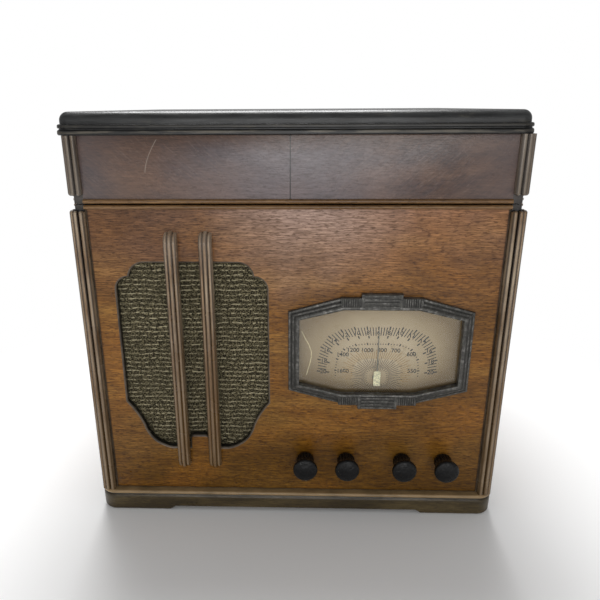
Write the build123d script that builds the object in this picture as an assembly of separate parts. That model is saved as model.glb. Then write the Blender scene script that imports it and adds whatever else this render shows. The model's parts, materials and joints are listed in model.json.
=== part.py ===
from build123d import *
import math
import os

# A wooden tabletop radio with a record player under its deep lid. Millimetres, +Z up, -Y to the front.
# The origin is on the table, under the middle of the outline. The cabinet is a set of glued boards and
# mouldings; the radio chassis, loudspeaker and motor hang inside it, and the lid turns on two rear hinges.

# ---- driving dimensions ----
CASE_W = 430.0  # over the reeded corner posts
FRONT_Y = -173.3  # front face of the front panel
BODY_D = 366.0  # front panel face to the rear edge of the sides
PLINTH_H = 25.0
SEAM_Z = 341.0  # middle of the gap between case and lid
SEAM_GAP = 1.2
LID_BOARD_Z = 403.5  # underside of the moulded top board
TOP_Z = 424.0

PANEL_T = 8.0  # front panels of case and lid
SIDE_T = 12.0
POST_W = 15.5  # reeded post, seen from the front
POST_PROUD = 5.0  # post in front of the panel
POST_D = 18.0  # post, front to back
LID_POST_W = 14.1  # the lid's posts are a little narrower
REED_R = 2.75
REED_PITCH = 5.2
WAIST_INSET = 5.5  # plain neck of the post, behind the reeds
WAIST_LOW_Z = 335.3  # where the lower reeds end
WAIST_HIGH_Z = 349.0  # where the lid's reeds start
BEAD_H = 4.2
BEAD_PROUD = 2.6

BOARD_W = 430.6  # moulded top board
BOARD_PROUD = 5.3  # in front of the panel
BOARD_SHIFT = -3.0  # it was glued on slightly to the left
BOARD_CORNER_R = 12.0
PLINTH_PROUD = 6.0  # past the front panel
PLINTH_SIDE = 1.7  # past the posts
PLINTH_T = 16.0
PLINTH_CORNER_R = 1.0  # of the moulding's inner edge
PLINTH_CUT_X = 133.0  # half the length of the cut under the front
PLINTH_CUT_H = 5.5
PLINTH_CUT_RAMP = 9.0

CORD_HOLE = (-150.0, 135.0)  # grommet in the back cover, as (x, z)
SCREW_R = 1.6
SCREW_HOLE_R = 1.65
RAIL_W = 10.0

GRILLE_X = -102.4
BAR_SPREAD = 16.7  # from the grille's middle to each bar's middle
BAR_W = 12.5
BAR_PROUD = 12.0
BAR_LOW_Z = 55.3
BAR_HIGH_Z = 316.0

DIAL_X = 84.5
DIAL_Z = 192.5
HUB_Z = 159.5  # pointer and tuning gang turn here
ESCUTCHEON_PROUD = 7.0
WINDOW = [(36.5, 46.0), (80.5, 35.2)]  # quarter of the window's outline, from the dial's middle

KNOB_Z = 66.5
KNOB_SPREAD = [-73.5, -29.7, 29.7, 73.5]  # from the dial's middle
KNOB_NAMES = ["volume", "tone", "tuning", "band"]
KNOB_GAP = 3.0  # knob's back to the panel
KNOB_L = 23.2
SHAFT_R = 3.15
DRUM_R = 36.0  # bottom of the groove; the cord's line is ten times that of the tuning shaft
DRUM_DEPTH = 17.0
DRIVE_CORD_R = 0.4

SPEAKER_Z = 181.0
SPEAKER_R = 86.0
CHASSIS_X = (-5.0, 190.0)
CHASSIS_Y = (20.0, 250.0)  # behind the front panel's face
CHASSIS_TOP = 96.0
SHEET = 1.2

DECK_Z = 326.0  # top of the motor board
DECK_T = 8.0
PLATTER_X = -42.0
PLATTER_DEPTH = 175.0  # platter's middle behind the front panel's face
PLATTER_R = 127.0
PLATTER_TOP = 339.5
MAT_TOP = 341.6
SPINDLE_R = 3.55  # above the mat, to fit a record
SPINDLE_FOOT_R = 4.2
SPINDLE_TOP = 352.0
ARM_X = 150.0
ARM_DEPTH = 290.0
ARM_L = 228.0  # pivot to needle
ARM_PIVOT_Z = 368.0
SWITCH_X = 70.0
SWITCH_DEPTH = 30.0
SWITCH_Z = 329.4  # the lever's cross pin
SWITCH_PIN_R = 1.0
SWITCH_REST = 15.0  # degrees off upright

HINGE_DEPTH = 369.5
HINGE_X = 120.0
HINGE_L = 50.0
HINGE_R = 3.3
HINGE_PIN_R = 1.6
STAY_R = 120.0
STAY_X = 194.0

CLEAR = 0.1  # between pieces that only touch

# ---- worked out from the driving dimensions ----
HALF_W = CASE_W / 2
INNER_X = HALF_W - POST_W  # the panels end here, against the posts
SIDE_X = INNER_X + SIDE_T
CASE_TOP = SEAM_Z - SEAM_GAP / 2
LID_LOW = SEAM_Z + SEAM_GAP / 2
FLOOR_Z = PLINTH_H + 8.0  # top of the bottom board
SIDE_FRONT = POST_D - POST_PROUD  # the side panels start behind the posts
HINGE_Y = FRONT_Y + HINGE_DEPTH


def block(x, y, z):
    """A box from three (low, high) pairs. y is measured back from the front panel's face."""
    size = [b - a for a, b in (x, y, z)]
    middle = [(a + b) / 2 for a, b in (x, y, z)]
    return Pos(middle[0], FRONT_Y + middle[1], middle[2]) * Box(*size)


def rod_x(x, depth, z, radius):
    return Pos(sum(x) / 2, FRONT_Y + depth, z) * Rot(0, 90, 0) * Cylinder(radius, x[1] - x[0])


def rod_y(x, depth, z, radius):
    return Pos(x, FRONT_Y + sum(depth) / 2, z) * Rot(90, 0, 0) * Cylinder(radius, depth[1] - depth[0])


def rod_z(x, depth, z, radius):
    return Pos(x, FRONT_Y + depth, sum(z) / 2) * Cylinder(radius, z[1] - z[0])


def front_plane(depth=0.0):
    """A sketch plane seen from the front: sketch x is +X, sketch y is +Z, and extruding goes forward."""
    return Plane(origin=(0, FRONT_Y + depth, 0), x_dir=(1, 0, 0), z_dir=(0, -1, 0))


def slab(face, x, z, depth):
    """A front-plane face, moved to (x, z) and given thickness between two depths."""
    placed = front_plane(depth[1]) * (Pos(x, z) * face)
    return extrude(placed, amount=depth[1] - depth[0])


def turned(points, x, depth, z, direction):
    """A solid of revolution. points are (radius, distance along direction from the given place)."""
    face = make_face(Polyline(*points, close=True))
    upright = {"z": Rot(90, 0, 0), "-y": Rot(180, 0, 0), "y": Rot(0, 0, 0)}[direction]
    solid = revolve(face, axis=Axis.Y)
    return Pos(x, FRONT_Y + depth, z) * upright * solid


def mirrored_face(half):
    """A closed face from the right half of its outline, which runs between two points on the middle line."""
    return make_face(half + mirror(half, about=Plane.YZ))


# ---- corner posts and beads ----
def post_path(outer_x):
    """Middles of the reeds in plan, from the panel round the corner to the side, as (x, depth)."""
    first_x = INNER_X + REED_R
    front = REED_R - POST_PROUD
    bend = outer_x - REED_R - (first_x + REED_PITCH)
    middles = [(first_x, front), (first_x + REED_PITCH, front)]
    for angle in (45, 90):
        turn = math.radians(angle)
        x = first_x + REED_PITCH + bend * math.sin(turn)
        middles.append((x, front + bend * (1 - math.cos(turn))))
    middles.append((outer_x - REED_R, front + bend + REED_PITCH))
    return middles


def reeded_post(width, low, high, round_low, round_high):
    """A right-hand post between two heights, with its reeds rounded over at the ends asked for."""
    outer_x = INNER_X + width
    middles = post_path(outer_x)
    back = SIDE_FRONT
    outline = [(INNER_X, middles[0][1]), *middles, (outer_x - REED_R, back), (INNER_X, back)]
    core_face = make_face(Polyline(*[(x, FRONT_Y + d) for x, d in outline], close=True))
    core_low = low + (REED_R / 2 if round_low else 0)
    core_high = high - (REED_R / 2 if round_high else 0)
    post = extrude(Pos(0, 0, core_low) * core_face, amount=core_high - core_low)
    for x, depth in middles:
        reed_low = low + (REED_R if round_low else 0)
        reed_high = high - (REED_R if round_high else 0)
        post += rod_z(x, depth, (reed_low, reed_high), REED_R)
        if round_low:
            post += Pos(x, FRONT_Y + depth, reed_low) * Sphere(REED_R)
        if round_high:
            post += Pos(x, FRONT_Y + depth, reed_high) * Sphere(REED_R)
    return post


def waist(low, high):
    """The plain, dark neck of a post."""
    neck = block((INNER_X, HALF_W - WAIST_INSET), (WAIST_INSET - POST_PROUD, SIDE_FRONT), (low, high))
    outer = neck.edges().filter_by(Axis.Z).sort_by(lambda e: e.center().X - e.center().Y)[-1]
    return fillet(outer, 3.0)


def case_post():
    return reeded_post(POST_W, PLINTH_H, WAIST_LOW_Z, False, True) + waist(WAIST_LOW_Z - REED_R, CASE_TOP)


def lid_post():
    neck = waist(LID_LOW, WAIST_HIGH_Z + REED_R)
    return reeded_post(LID_POST_W, WAIST_HIGH_Z, LID_BOARD_Z, True, False) + neck


def bead(low):
    """Half-round bead across the front and along both sides, as three strips."""
    half = BEAD_H / 2
    outward = Pos(-BEAD_PROUD, 0) * Rectangle(2 * BEAD_PROUD, BEAD_H)
    section = Pos(0, low + half) * (Ellipse(BEAD_PROUD, half) & outward)
    front_section = Plane(origin=(-INNER_X, FRONT_Y, 0), x_dir=(0, 1, 0), z_dir=(1, 0, 0)) * section
    front = extrude(front_section, amount=2 * INNER_X)
    side_plane = Plane(origin=(-SIDE_X, FRONT_Y + SIDE_FRONT, 0), x_dir=(1, 0, 0), z_dir=(0, -1, 0))
    left = extrude(side_plane * section, amount=-(BODY_D - SIDE_FRONT))
    return Compound([front, left, mirror(left, about=Plane.YZ)])


# ---- cabinet ----
def grille_face():
    """The opening in front of the loudspeaker: stepped round shoulders, ogee foot and a middle tab."""
    shoulder_z, side_x, foot_z, low_z, tab_z = 269.6, 74.5, 133.0, 78.0, 93.0
    tab_x, tab_r = 10.5, 5.0
    half = Line((0, tab_z), (tab_x - tab_r, tab_z))
    half += ThreePointArc(
        (tab_x - tab_r, tab_z),
        (tab_x - tab_r * (1 - math.sqrt(0.5)), tab_z - tab_r * (1 - math.sqrt(0.5))),
        (tab_x, tab_z - tab_r),
    )
    half += Polyline((tab_x, tab_z - tab_r), (tab_x, low_z), (30.0, low_z))
    half += ThreePointArc((30.0, low_z), (48.5, 87.5), (58.0, 105.0))
    half += ThreePointArc((58.0, 105.0), (65.5, 120.5), (side_x, foot_z))
    half += Line((side_x, foot_z), (side_x, 257.0))
    half += ThreePointArc((side_x, 257.0), (70.8, 265.9), (61.0, shoulder_z))
    half += ThreePointArc((61.0, shoulder_z), (56.3, 279.7), (46.0, 284.0))
    half += Line((46.0, 284.0), (0, 284.0))
    return mirrored_face(half)


def window_face(margin=0.0):
    """The dial window, a long octagon, grown by margin."""
    knee, corner = WINDOW
    top = [(0, knee[1] + margin), (knee[0] + margin / 3, knee[1] + margin)]
    side = [(corner[0] + margin, corner[1] + margin / 2), (corner[0] + margin, 0)]
    quarter = Polyline(*top, *side)
    half = quarter + mirror(quarter, about=Plane.XZ)
    return mirrored_face(half)


def escutcheon_face(margin=0.0):
    """Outline of the dial frame, with its stepped plates at the top and the bottom, shrunk by -margin."""
    points = [
        (0, 62.5 + margin),
        (19.0 + margin / 2, 62.5 + margin),
        (20.5 + margin / 2, 60.8 + margin),
        (40.0 + margin / 2, 58.2 + margin),
        (40.0 + margin / 2, 57.0 + margin),
        (91.5 + margin, 43.0 + margin),
        (91.5 + margin, 0),
    ]
    quarter = Polyline(*points)
    half = quarter + mirror(quarter, about=Plane.XZ)
    return mirrored_face(half)


def front_panel():
    panel = block((-INNER_X, INNER_X), (0, PANEL_T), (PLINTH_H, CASE_TOP))
    panel -= slab(grille_face(), GRILLE_X, 0, (-1, PANEL_T + 1))
    panel -= slab(window_face(3.0), DIAL_X, DIAL_Z, (-1, PANEL_T + 1))
    for spread in KNOB_SPREAD:
        panel -= rod_y(DIAL_X + spread, (-1, PANEL_T + 1), KNOB_Z, 5.0)
    return panel


def side_panel(low, high):
    return block((INNER_X, SIDE_X), (SIDE_FRONT, BODY_D), (low, high))


def bottom_board():
    board = block((-INNER_X, INNER_X), (PANEL_T, BODY_D - 8.1), (PLINTH_H, FLOOR_Z))
    return board - screw_holes()


def screw_places():
    """Where the cabinet's screws go, as (location, hole length). Each screw points down its own z."""
    places = []
    for x in (-INNER_X + RAIL_W / 2, INNER_X - RAIL_W / 2):
        for depth in (24, BODY_D - 34):
            places.append((Pos(x, FRONT_Y + depth, DECK_Z), 14))
    for x in (-INNER_X + RAIL_W / 2, INNER_X - RAIL_W / 2):
        for z in (FLOOR_Z + 20, DECK_Z - DECK_T - 20):
            places.append((Pos(x, FRONT_Y + BODY_D - 5, z) * Rot(-90, 0, 0), 9))
    places.append((Pos(0, FRONT_Y + BODY_D - 5, DECK_Z - DECK_T - 6) * Rot(-90, 0, 0), 9))
    for x in (CHASSIS_X[0] + 8, CHASSIS_X[1] - 8):
        for depth in (CHASSIS_Y[0] + 20, CHASSIS_Y[1] - 20):
            places.append((Pos(x, FRONT_Y + depth, PLINTH_H) * Rot(180, 0, 0), 12))
    for turn in (45, 135, 225, 315):
        x = GRILLE_X + 80 * math.cos(math.radians(turn))
        z = SPEAKER_Z + 80 * math.sin(math.radians(turn))
        places.append((Pos(x, FRONT_Y + 17.3, z) * Rot(-90, 0, 0), 7))
    return places


def screw_holes():
    """Everything that the screws' shanks need bored away."""
    holes = []
    for place, length in screw_places():
        holes.append(place * Pos(0, 0, 0.5 - length / 2) * Cylinder(SCREW_HOLE_R, length + 1))
    return Compound(holes)


def inner_rails():
    """Rear rail with a rebate for the back cover, glue blocks behind it, and cleats under the motor board."""
    under_deck = DECK_Z - DECK_T
    rear = block((-INNER_X, INNER_X), (BODY_D - 18, BODY_D), (under_deck + 0.5, CASE_TOP))
    rear += block((-40, 40), (BODY_D - 18, BODY_D - 8.1), (under_deck - 16, under_deck + 1))
    rails = [rear]
    slot_depth = HINGE_DEPTH - STAY_R
    for x in ((-INNER_X, -INNER_X + RAIL_W), (INNER_X - RAIL_W, INNER_X)):
        cleat = block(x, (PANEL_T + 8, BODY_D - 19), (under_deck - RAIL_W, under_deck))
        if x[0] > 0:
            cleat -= block((x[0] - 1, x[1] + 1), (slot_depth - 9, slot_depth + 12), (300, 330))
        rails += cleat.solids()
        for z in ((FLOOR_Z, FLOOR_Z + 40), (under_deck - 40, under_deck)):
            rails.append(block(x, (BODY_D - 18, BODY_D - 8.1), z))
    return Compound([rail - screw_holes() for rail in rails])


def back_cover():
    """Pressed fibre board with vent holes above and slots below."""
    cover = block((-INNER_X + 1, INNER_X - 1), (BODY_D - 8, BODY_D - 5), (PLINTH_H + 1, DECK_Z - DECK_T))
    holes = GridLocations(22, 16, 15, 5) * Circle(4.5)
    slots = GridLocations(44, 18, 7, 2) * SlotOverall(30, 7)
    cover -= slab(Sketch() + holes, 0, 245, (BODY_D - 10, BODY_D))
    cover -= slab(Sketch() + slots, 0, 85, (BODY_D - 10, BODY_D))
    cover -= rod_y(CORD_HOLE[0], (BODY_D - 10, BODY_D), CORD_HOLE[1], 6.0)
    return cover - screw_holes()


def cord_grommet():
    """Rubber bush in the back cover, with a groove for the cover's edge and a bore for a mains lead."""
    profile = [(3.5, -3), (6.5, -3), (8, -1.5), (8, -CLEAR), (5.9, -CLEAR), (5.9, 3 + CLEAR)]
    profile += [(8, 3 + CLEAR), (8, 4.5), (6.5, 6), (3.5, 6)]
    return turned(profile, CORD_HOLE[0], BODY_D - 8, CORD_HOLE[1], "y")


def plinth_profile():
    """Section of the base moulding: outward on x, height on y, with a bead at the top."""
    t, p = PLINTH_T, PLINTH_H
    line = Polyline((0, p), (t - 1.2, p))
    line += ThreePointArc((t - 1.2, p), (t + 0.4, p - 2.0), (t - 0.6, p - 4.0))
    line += Line((t - 0.6, p - 4.0), (t - 1.6, p - 4.4))
    line += Spline((t - 1.6, p - 4.4), (t - 0.6, p - 6.2), (t, p - 10.0), tangents=[(0, -1), (0, -1)])
    line += Line((t, p - 10.0), (t - 0.3, 3.0))
    line += ThreePointArc((t - 0.3, 3.0), (t - 1.2, 0.9), (t - 3.0, 0))
    line += Polyline((t - 3.0, 0), (0, 0), (0, p))
    return make_face(line)


def plinth_ring():
    """The whole base moulding, before it is cut at the mitres: front and sides, open at the back."""
    x = HALF_W + PLINTH_SIDE - PLINTH_T
    front, rear = FRONT_Y + PLINTH_T - PLINTH_PROUD, FRONT_Y + BODY_D
    path = Polyline((x, rear), (x, front), (-x, front), (-x, rear))
    path = fillet(path.vertices().filter_by(lambda v: v.Y < 0), PLINTH_CORNER_R)
    section = Plane(origin=(x, rear, 0), x_dir=(1, 0, 0), z_dir=(0, -1, 0)) * plinth_profile()
    return sweep(section, path=path, transition=Transition.ROUND)


def plinth_cut(along_x):
    """The shallow arch under the base moulding, with sloping ends."""
    if along_x:
        half, middle, plane = PLINTH_CUT_X, 0.0, front_plane(-20)
        reach = -60.0
    else:
        half, middle = PLINTH_CUT_X - 18, FRONT_Y + BODY_D / 2
        plane = Plane(origin=(HALF_W + 20, 0, 0), x_dir=(0, 1, 0), z_dir=(1, 0, 0))
        reach = -(CASE_W + 40)
    outline = [
        (middle - half - PLINTH_CUT_RAMP, -1),
        (middle - half, PLINTH_CUT_H),
        (middle + half, PLINTH_CUT_H),
        (middle + half + PLINTH_CUT_RAMP, -1),
    ]
    return extrude(plane * make_face(Polyline(*outline, close=True)), amount=reach)


def plinth():
    """The front and the two sides of the base moulding, mitred at the corners."""
    ring = plinth_ring() - plinth_cut(True) - plinth_cut(False)
    x = HALF_W + PLINTH_SIDE + 1
    front = FRONT_Y - PLINTH_PROUD - 1
    reach = 60.0
    wedge = [(x, front), (x - reach, front + reach), (reach - x, front + reach), (-x, front)]
    face = make_face(Polyline(*wedge, close=True))
    front_zone = extrude(face, amount=PLINTH_H + 1)
    return Compound((ring & front_zone).solids() + (ring - front_zone).solids())


def bar_section():
    """A bar's section, with its back on y=0: three reeds over straight sides."""
    side = BAR_W / 2
    reed = 2.5
    crown = BAR_PROUD - reed
    face = Pos(0, crown / 2) * Rectangle(BAR_W - 0.6, crown)
    face += Pos(0, crown) * Circle(reed)
    for sign in (-1, 1):
        face += Pos(sign * (side - reed), crown - 1.2) * Circle(reed)
        face -= Pos(sign * side, crown / 2 - 1.5) * Circle(0.7)
    lower = Pos(0, -reed) * Rectangle(2 * BAR_W, 2 * reed)
    return face - lower


def grille_bar(x):
    """A reeded bar that curves back into the panel at both ends."""
    low, high = BAR_LOW_Z + BAR_PROUD, BAR_HIGH_Z - BAR_PROUD
    flat = Plane(origin=(x, FRONT_Y, low), x_dir=(-1, 0, 0), z_dir=(0, 0, 1)) * bar_section()
    bar = extrude(flat, amount=high - low)
    foot_axis = Axis((x, FRONT_Y, low), (1, 0, 0))
    head_axis = Axis((x, FRONT_Y, high), (-1, 0, 0))
    bar += revolve(flat, axis=foot_axis, revolution_arc=90)
    bar += revolve(Pos(0, 0, high - low) * flat, axis=head_axis, revolution_arc=90)
    return bar


def speaker_baffle():
    board = block((-192, -9), (9.2, 15.2), (40, 300))
    return board - rod_y(GRILLE_X, (8, 17), SPEAKER_Z, 73.0) - screw_holes()


def grille_cloth():
    return block((-186, -19), (8.3, 9.0), (70, 293))


# ---- dial ----
def dial_escutcheon():
    """Cast frame: a low outer step, a raised inner rim and ribbed plates at the top and the bottom."""
    frame = slab(escutcheon_face(), DIAL_X, DIAL_Z, (-4.0, 0))
    frame += slab(escutcheon_face(-2.4), DIAL_X, DIAL_Z, (-6.0, -3.0))
    frame += slab(window_face(4.0), DIAL_X, DIAL_Z, (-ESCUTCHEON_PROUD, -5.0))
    for side in (-1, 1):
        for step in range(8):
            x = DIAL_X + side * (22.0 + 2.3 * step)
            for z in (DIAL_Z + 54.5, DIAL_Z - 54.5):
                frame += block((x - 0.6, x + 0.6), (-6.8, -5.0), (z - 3.6, z + 3.6))
    for offset in (51.5, 54.5, 57.5):
        for z in (DIAL_Z + offset, DIAL_Z - offset):
            frame += block((DIAL_X - 17, DIAL_X + 17), (-7.0, -5.0), (z - 0.8, z + 0.8))
    return frame - slab(window_face(), DIAL_X, DIAL_Z, (-20, 1))


def dial_glass():
    return slab(window_face(2.4), DIAL_X, DIAL_Z, (0.2, 2.2))


def dial_plate():
    plate = block((DIAL_X - 88, DIAL_X + 88), (9.5, 10.5), (DIAL_Z - 53, DIAL_Z + 53))
    return plate - rod_y(DIAL_X, (8, 12), HUB_Z, 4.0)


def pointer():
    """Hand with a broad foot, on a hub that sits on the tuning gang's shaft."""
    hub = rod_y(DIAL_X, (4.6, 7.0), HUB_Z, 4.5)
    foot = block((DIAL_X - 2.6, DIAL_X + 2.6), (5.0, 6.0), (HUB_Z - 3, HUB_Z + 13))
    hand = block((DIAL_X - 0.5, DIAL_X + 0.5), (5.2, 5.8), (HUB_Z, HUB_Z + 61))
    return hub + foot + hand - rod_y(DIAL_X, (5.5, 8), HUB_Z, 3.05)


# ---- knobs and controls ----
def knob(x):
    """Moulded knob: a fluted neck that flares to a smooth, slightly domed disc."""
    profile = [
        (0, 0),
        (9.4, 0),
        (10.0, 0.6),
        (10.0, 2.4),
        (9.3, 6.0),
        (9.4, 10.0),
        (10.6, 13.6),
        (12.3, 16.0),
        (12.7, 17.4),
        (12.7, 19.4),
        (12.0, 20.8),
        (10.4, 21.6),
        (6.0, 22.7),
        (0, KNOB_L),
    ]
    body = turned(profile, x, -KNOB_GAP, KNOB_Z, "-y")
    for step in range(20):
        turn = 2 * math.pi * step / 20
        flute_x = x + 10.7 * math.cos(turn)
        flute_z = KNOB_Z + 10.7 * math.sin(turn)
        body -= rod_y(flute_x, (-KNOB_GAP - 14.5, -KNOB_GAP + 1), flute_z, 0.95)
    return body - rod_y(x, (-KNOB_GAP - 17.1, -KNOB_GAP + 1), KNOB_Z, SHAFT_R + 0.05)


def shaft(x):
    return rod_y(x, (-KNOB_GAP - 17, 31), KNOB_Z, SHAFT_R)


def control_bodies():
    """Volume and tone controls, tuning bush and band switch, each with its threaded bush."""
    bodies = []
    for spread in KNOB_SPREAD:
        x = DIAL_X + spread
        body = rod_y(x, (CHASSIS_Y[0] + SHEET + CLEAR, 38), KNOB_Z, 14.0)
        body += rod_y(x, (18.5, 30), KNOB_Z, 4.8)
        bodies.append(body - rod_y(x, (18, 32), KNOB_Z, SHAFT_R + 0.07))
    return Compound(bodies)


# ---- chassis ----
TUBES = [(20, 188), (62, 150), (62, 200), (105, 165), (150, 145), (20, 235)]
IF_CANS = [(20, 75), (20, 130), (165, 70)]


def chassis():
    pan = block(CHASSIS_X, CHASSIS_Y, (FLOOR_Z + CLEAR, CHASSIS_TOP))
    inside_x = (CHASSIS_X[0] + SHEET, CHASSIS_X[1] - SHEET)
    inside_y = (CHASSIS_Y[0] + SHEET, CHASSIS_Y[1] - SHEET)
    pan -= block(inside_x, inside_y, (FLOOR_Z - 1, CHASSIS_TOP - SHEET))
    for spread in KNOB_SPREAD:
        pan -= rod_y(DIAL_X + spread, (18, 24), KNOB_Z, 5.0)
    for x, depth in TUBES:
        pan -= rod_z(x, depth, (CHASSIS_TOP - 3, CHASSIS_TOP + 1), 12.0)
    for x in ((inside_x[0], inside_x[0] + 14), (inside_x[1] - 14, inside_x[1])):
        pan += block(x, inside_y, (FLOOR_Z + CLEAR, FLOOR_Z + CLEAR + SHEET))
    return pan - screw_holes()


def power_transformer():
    low = CHASSIS_TOP + CLEAR
    core = block((128, 186), (178, 244), (low + 22, low + 46))
    bells = block((134, 180), (186, 236), (low, low + 68))
    bells = fillet(bells.edges().filter_by(Axis.Z), 8)
    return core + fillet(bells.faces().sort_by(Axis.Z)[-1].edges(), 6)


def if_cans():
    cans = []
    for x, depth in IF_CANS:
        can = block((x - 17, x + 17), (depth - 17, depth + 17), (CHASSIS_TOP + CLEAR, CHASSIS_TOP + 85))
        can = fillet(can.edges().filter_by(Axis.Z), 5)
        cans.append(fillet(can.faces().sort_by(Axis.Z)[-1].edges(), 2))
    return Compound(cans)


def tubes():
    """Bakelite bases and, standing on them, shouldered glass bulbs."""
    low = CHASSIS_TOP + CLEAR
    bulb = [
        (0, 0),
        (14.5, 0),
        (16.5, 6),
        (20, 16),
        (20.5, 26),
        (19, 36),
        (15, 44),
        (13.5, 50),
        (13.5, 62),
        (11.5, 69),
        (7, 73.5),
        (0, 75),
    ]
    solids = []
    for x, depth in TUBES:
        solids.append(rod_z(x, depth, (low, low + 26), 15.5))
        solids.append(turned(bulb, x, depth, low + 26, "z"))
    return Compound(solids)


def gang_frame():
    """Tuning gang's frame: base, two end plates, side bars and the fixed plates between the moving ones."""
    low = CHASSIS_TOP + CLEAR
    frame = block((DIAL_X - 32, DIAL_X + 32), (40, 108), (low, low + 3))
    for depth in (40, 105):
        frame += block((DIAL_X - 32, DIAL_X + 32), (depth, depth + 3), (low, HUB_Z + 32))
    for side in (-1, 1):
        x = DIAL_X + side * 30.5
        frame += block((x - 1.5, x + 1.5), (40, 108), (HUB_Z + 2, HUB_Z + 12))
    for step in range(6):
        depth = 49 + 9 * step
        plate = rod_y(DIAL_X, (depth, depth + 1.2), HUB_Z, 29.5)
        plate &= block((DIAL_X + 8, DIAL_X + 40), (30, 120), (HUB_Z - 40, HUB_Z + 40))
        frame += plate
    return frame - rod_y(DIAL_X, (30, 120), HUB_Z, 3.1)


def gang_rotor():
    """Moving plates on the gang's shaft, and the drum that the dial cord turns."""
    rotor = rod_y(DIAL_X, (5.6, 112), HUB_Z, 3.0)
    for step in range(6):
        depth = 53.5 + 9 * step
        plate = rod_y(DIAL_X, (depth, depth + 1.2), HUB_Z, 26)
        plate &= block((DIAL_X - 40, DIAL_X + 40), (30, 120), (HUB_Z - 1, HUB_Z + 40))
        rotor += plate
    drum = rod_y(DIAL_X, (DRUM_DEPTH - 3, DRUM_DEPTH + 3), HUB_Z, DRUM_R + 1.5)
    drum -= rod_y(DIAL_X, (DRUM_DEPTH - 3, DRUM_DEPTH + 3), HUB_Z, 3.05)
    groove = rod_y(DIAL_X, (DRUM_DEPTH - 1, DRUM_DEPTH + 1), HUB_Z, 50)
    drum -= groove - rod_y(DIAL_X, (10, 24), HUB_Z, DRUM_R)
    return Compound([rotor, drum])


def tuning_drive_cord():
    """Endless cord round the drum and the tuning shaft, with its two straight runs between them."""
    gap = 0.1
    drum_r = DRUM_R + DRIVE_CORD_R + gap
    shaft_r = SHAFT_R + DRIVE_CORD_R + gap
    shaft_x, drop = KNOB_SPREAD[2], KNOB_Z - HUB_Z
    to_shaft = math.degrees(math.atan2(drop, shaft_x))
    spread = math.degrees(math.acos((drum_r - shaft_r) / math.hypot(shaft_x, drop)))

    def at(middle, radius, angle):
        turn = math.radians(angle)
        return (middle[0] + radius * math.cos(turn), middle[1] + radius * math.sin(turn))

    def wrap(middle, radius, start, end):
        halfway = at(middle, radius, (start + end) / 2)
        return ThreePointArc(at(middle, radius, start), halfway, at(middle, radius, end))

    drum, shaft_middle = (DIAL_X, HUB_Z), (DIAL_X + shaft_x, KNOB_Z)
    left, right = to_shaft - spread, to_shaft + spread
    runs = [wrap(drum, drum_r, right, left + 360), wrap(shaft_middle, shaft_r, left, right)]
    for angle in (left, right):
        runs.append(Line(at(drum, drum_r, angle), at(shaft_middle, shaft_r, angle)))
    cord = None
    for run in runs:
        path = front_plane(DRUM_DEPTH) * run
        start = Plane(origin=path @ 0, z_dir=path % 0)
        piece = sweep(start * Circle(DRIVE_CORD_R), path=path)
        cord = piece if cord is None else cord + piece
    return cord


# ---- loudspeaker ----
def speaker_frame():
    """Pressed basket with four windows, and the field magnet's pot behind it."""
    profile = [(72, 0), (SPEAKER_R, 0), (SPEAKER_R, 2), (76, 2), (74, 6), (36, 42), (36, 44)]
    profile += [(16, 44), (16, 42), (33, 42), (71, 5)]
    basket = turned(profile, GRILLE_X, 15.3, SPEAKER_Z, "y")
    for turn in (0, 90, 180, 270):
        window = Pos(52, 0, 0) * Box(26, 60, 34)
        basket -= Pos(GRILLE_X, FRONT_Y + 40, SPEAKER_Z) * Rot(0, turn + 45, 0) * window
    pot = rod_y(GRILLE_X, (59.4, 108), SPEAKER_Z, 34) - rod_y(GRILLE_X, (59, 70), SPEAKER_Z, 15)
    return Compound([basket - screw_holes(), pot])


def speaker_cone():
    profile = [(14, 34), (14, 42), (12, 42), (12, 33), (5, 29), (0, 28), (0, 27), (6, 28)]
    profile += [(13, 31.5), (68, 1.5), (71, 1.5), (71, 2.6), (69, 2.6)]
    return turned(profile, GRILLE_X, 15.3, SPEAKER_Z, "y")


# ---- record player ----
def motor_board():
    board = block((-INNER_X + 0.5, INNER_X - 0.5), (PANEL_T + 0.5, BODY_D - 18.5), (DECK_Z - DECK_T, DECK_Z))
    board -= rod_z(PLATTER_X, PLATTER_DEPTH, (DECK_Z - 10, DECK_Z + 1), 12.0)
    slot_depth = HINGE_DEPTH - STAY_R
    board -= block((191, INNER_X), (slot_depth - 7, slot_depth + 9.5), (DECK_Z - 10, DECK_Z + 1))
    return board - screw_holes()


def phono_motor():
    top = DECK_Z - DECK_T - CLEAR
    body = rod_z(PLATTER_X, PLATTER_DEPTH, (top - 52, top), 46)
    body = chamfer(body.faces().sort_by(Axis.Z)[0].edges(), 6)
    for turn in (30, 150, 270):
        x = PLATTER_X + 52 * math.cos(math.radians(turn))
        depth = PLATTER_DEPTH + 52 * math.sin(math.radians(turn))
        body += rod_z(x, depth, (top - 3, top), 9)
    return body - rod_z(PLATTER_X, PLATTER_DEPTH, (top - 30, top + 1), SPINDLE_FOOT_R + 0.07)


def turntable_platter():
    low, rim_in, bore = 329.0, PLATTER_R - 3, SPINDLE_FOOT_R + 0.05
    profile = [
        (bore, low),
        (14, low),
        (14, PLATTER_TOP - 2.2),
        (rim_in, PLATTER_TOP - 2.2),
        (rim_in, low),
        (PLATTER_R - 0.6, low),
        (PLATTER_R, low + 1.0),
        (PLATTER_R, PLATTER_TOP - 3),
        (PLATTER_R - 1.2, PLATTER_TOP - 0.6),
        (PLATTER_R - 3.0, PLATTER_TOP),
        (bore, PLATTER_TOP),
    ]
    return turned(profile, PLATTER_X, PLATTER_DEPTH, 0, "z")


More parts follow.
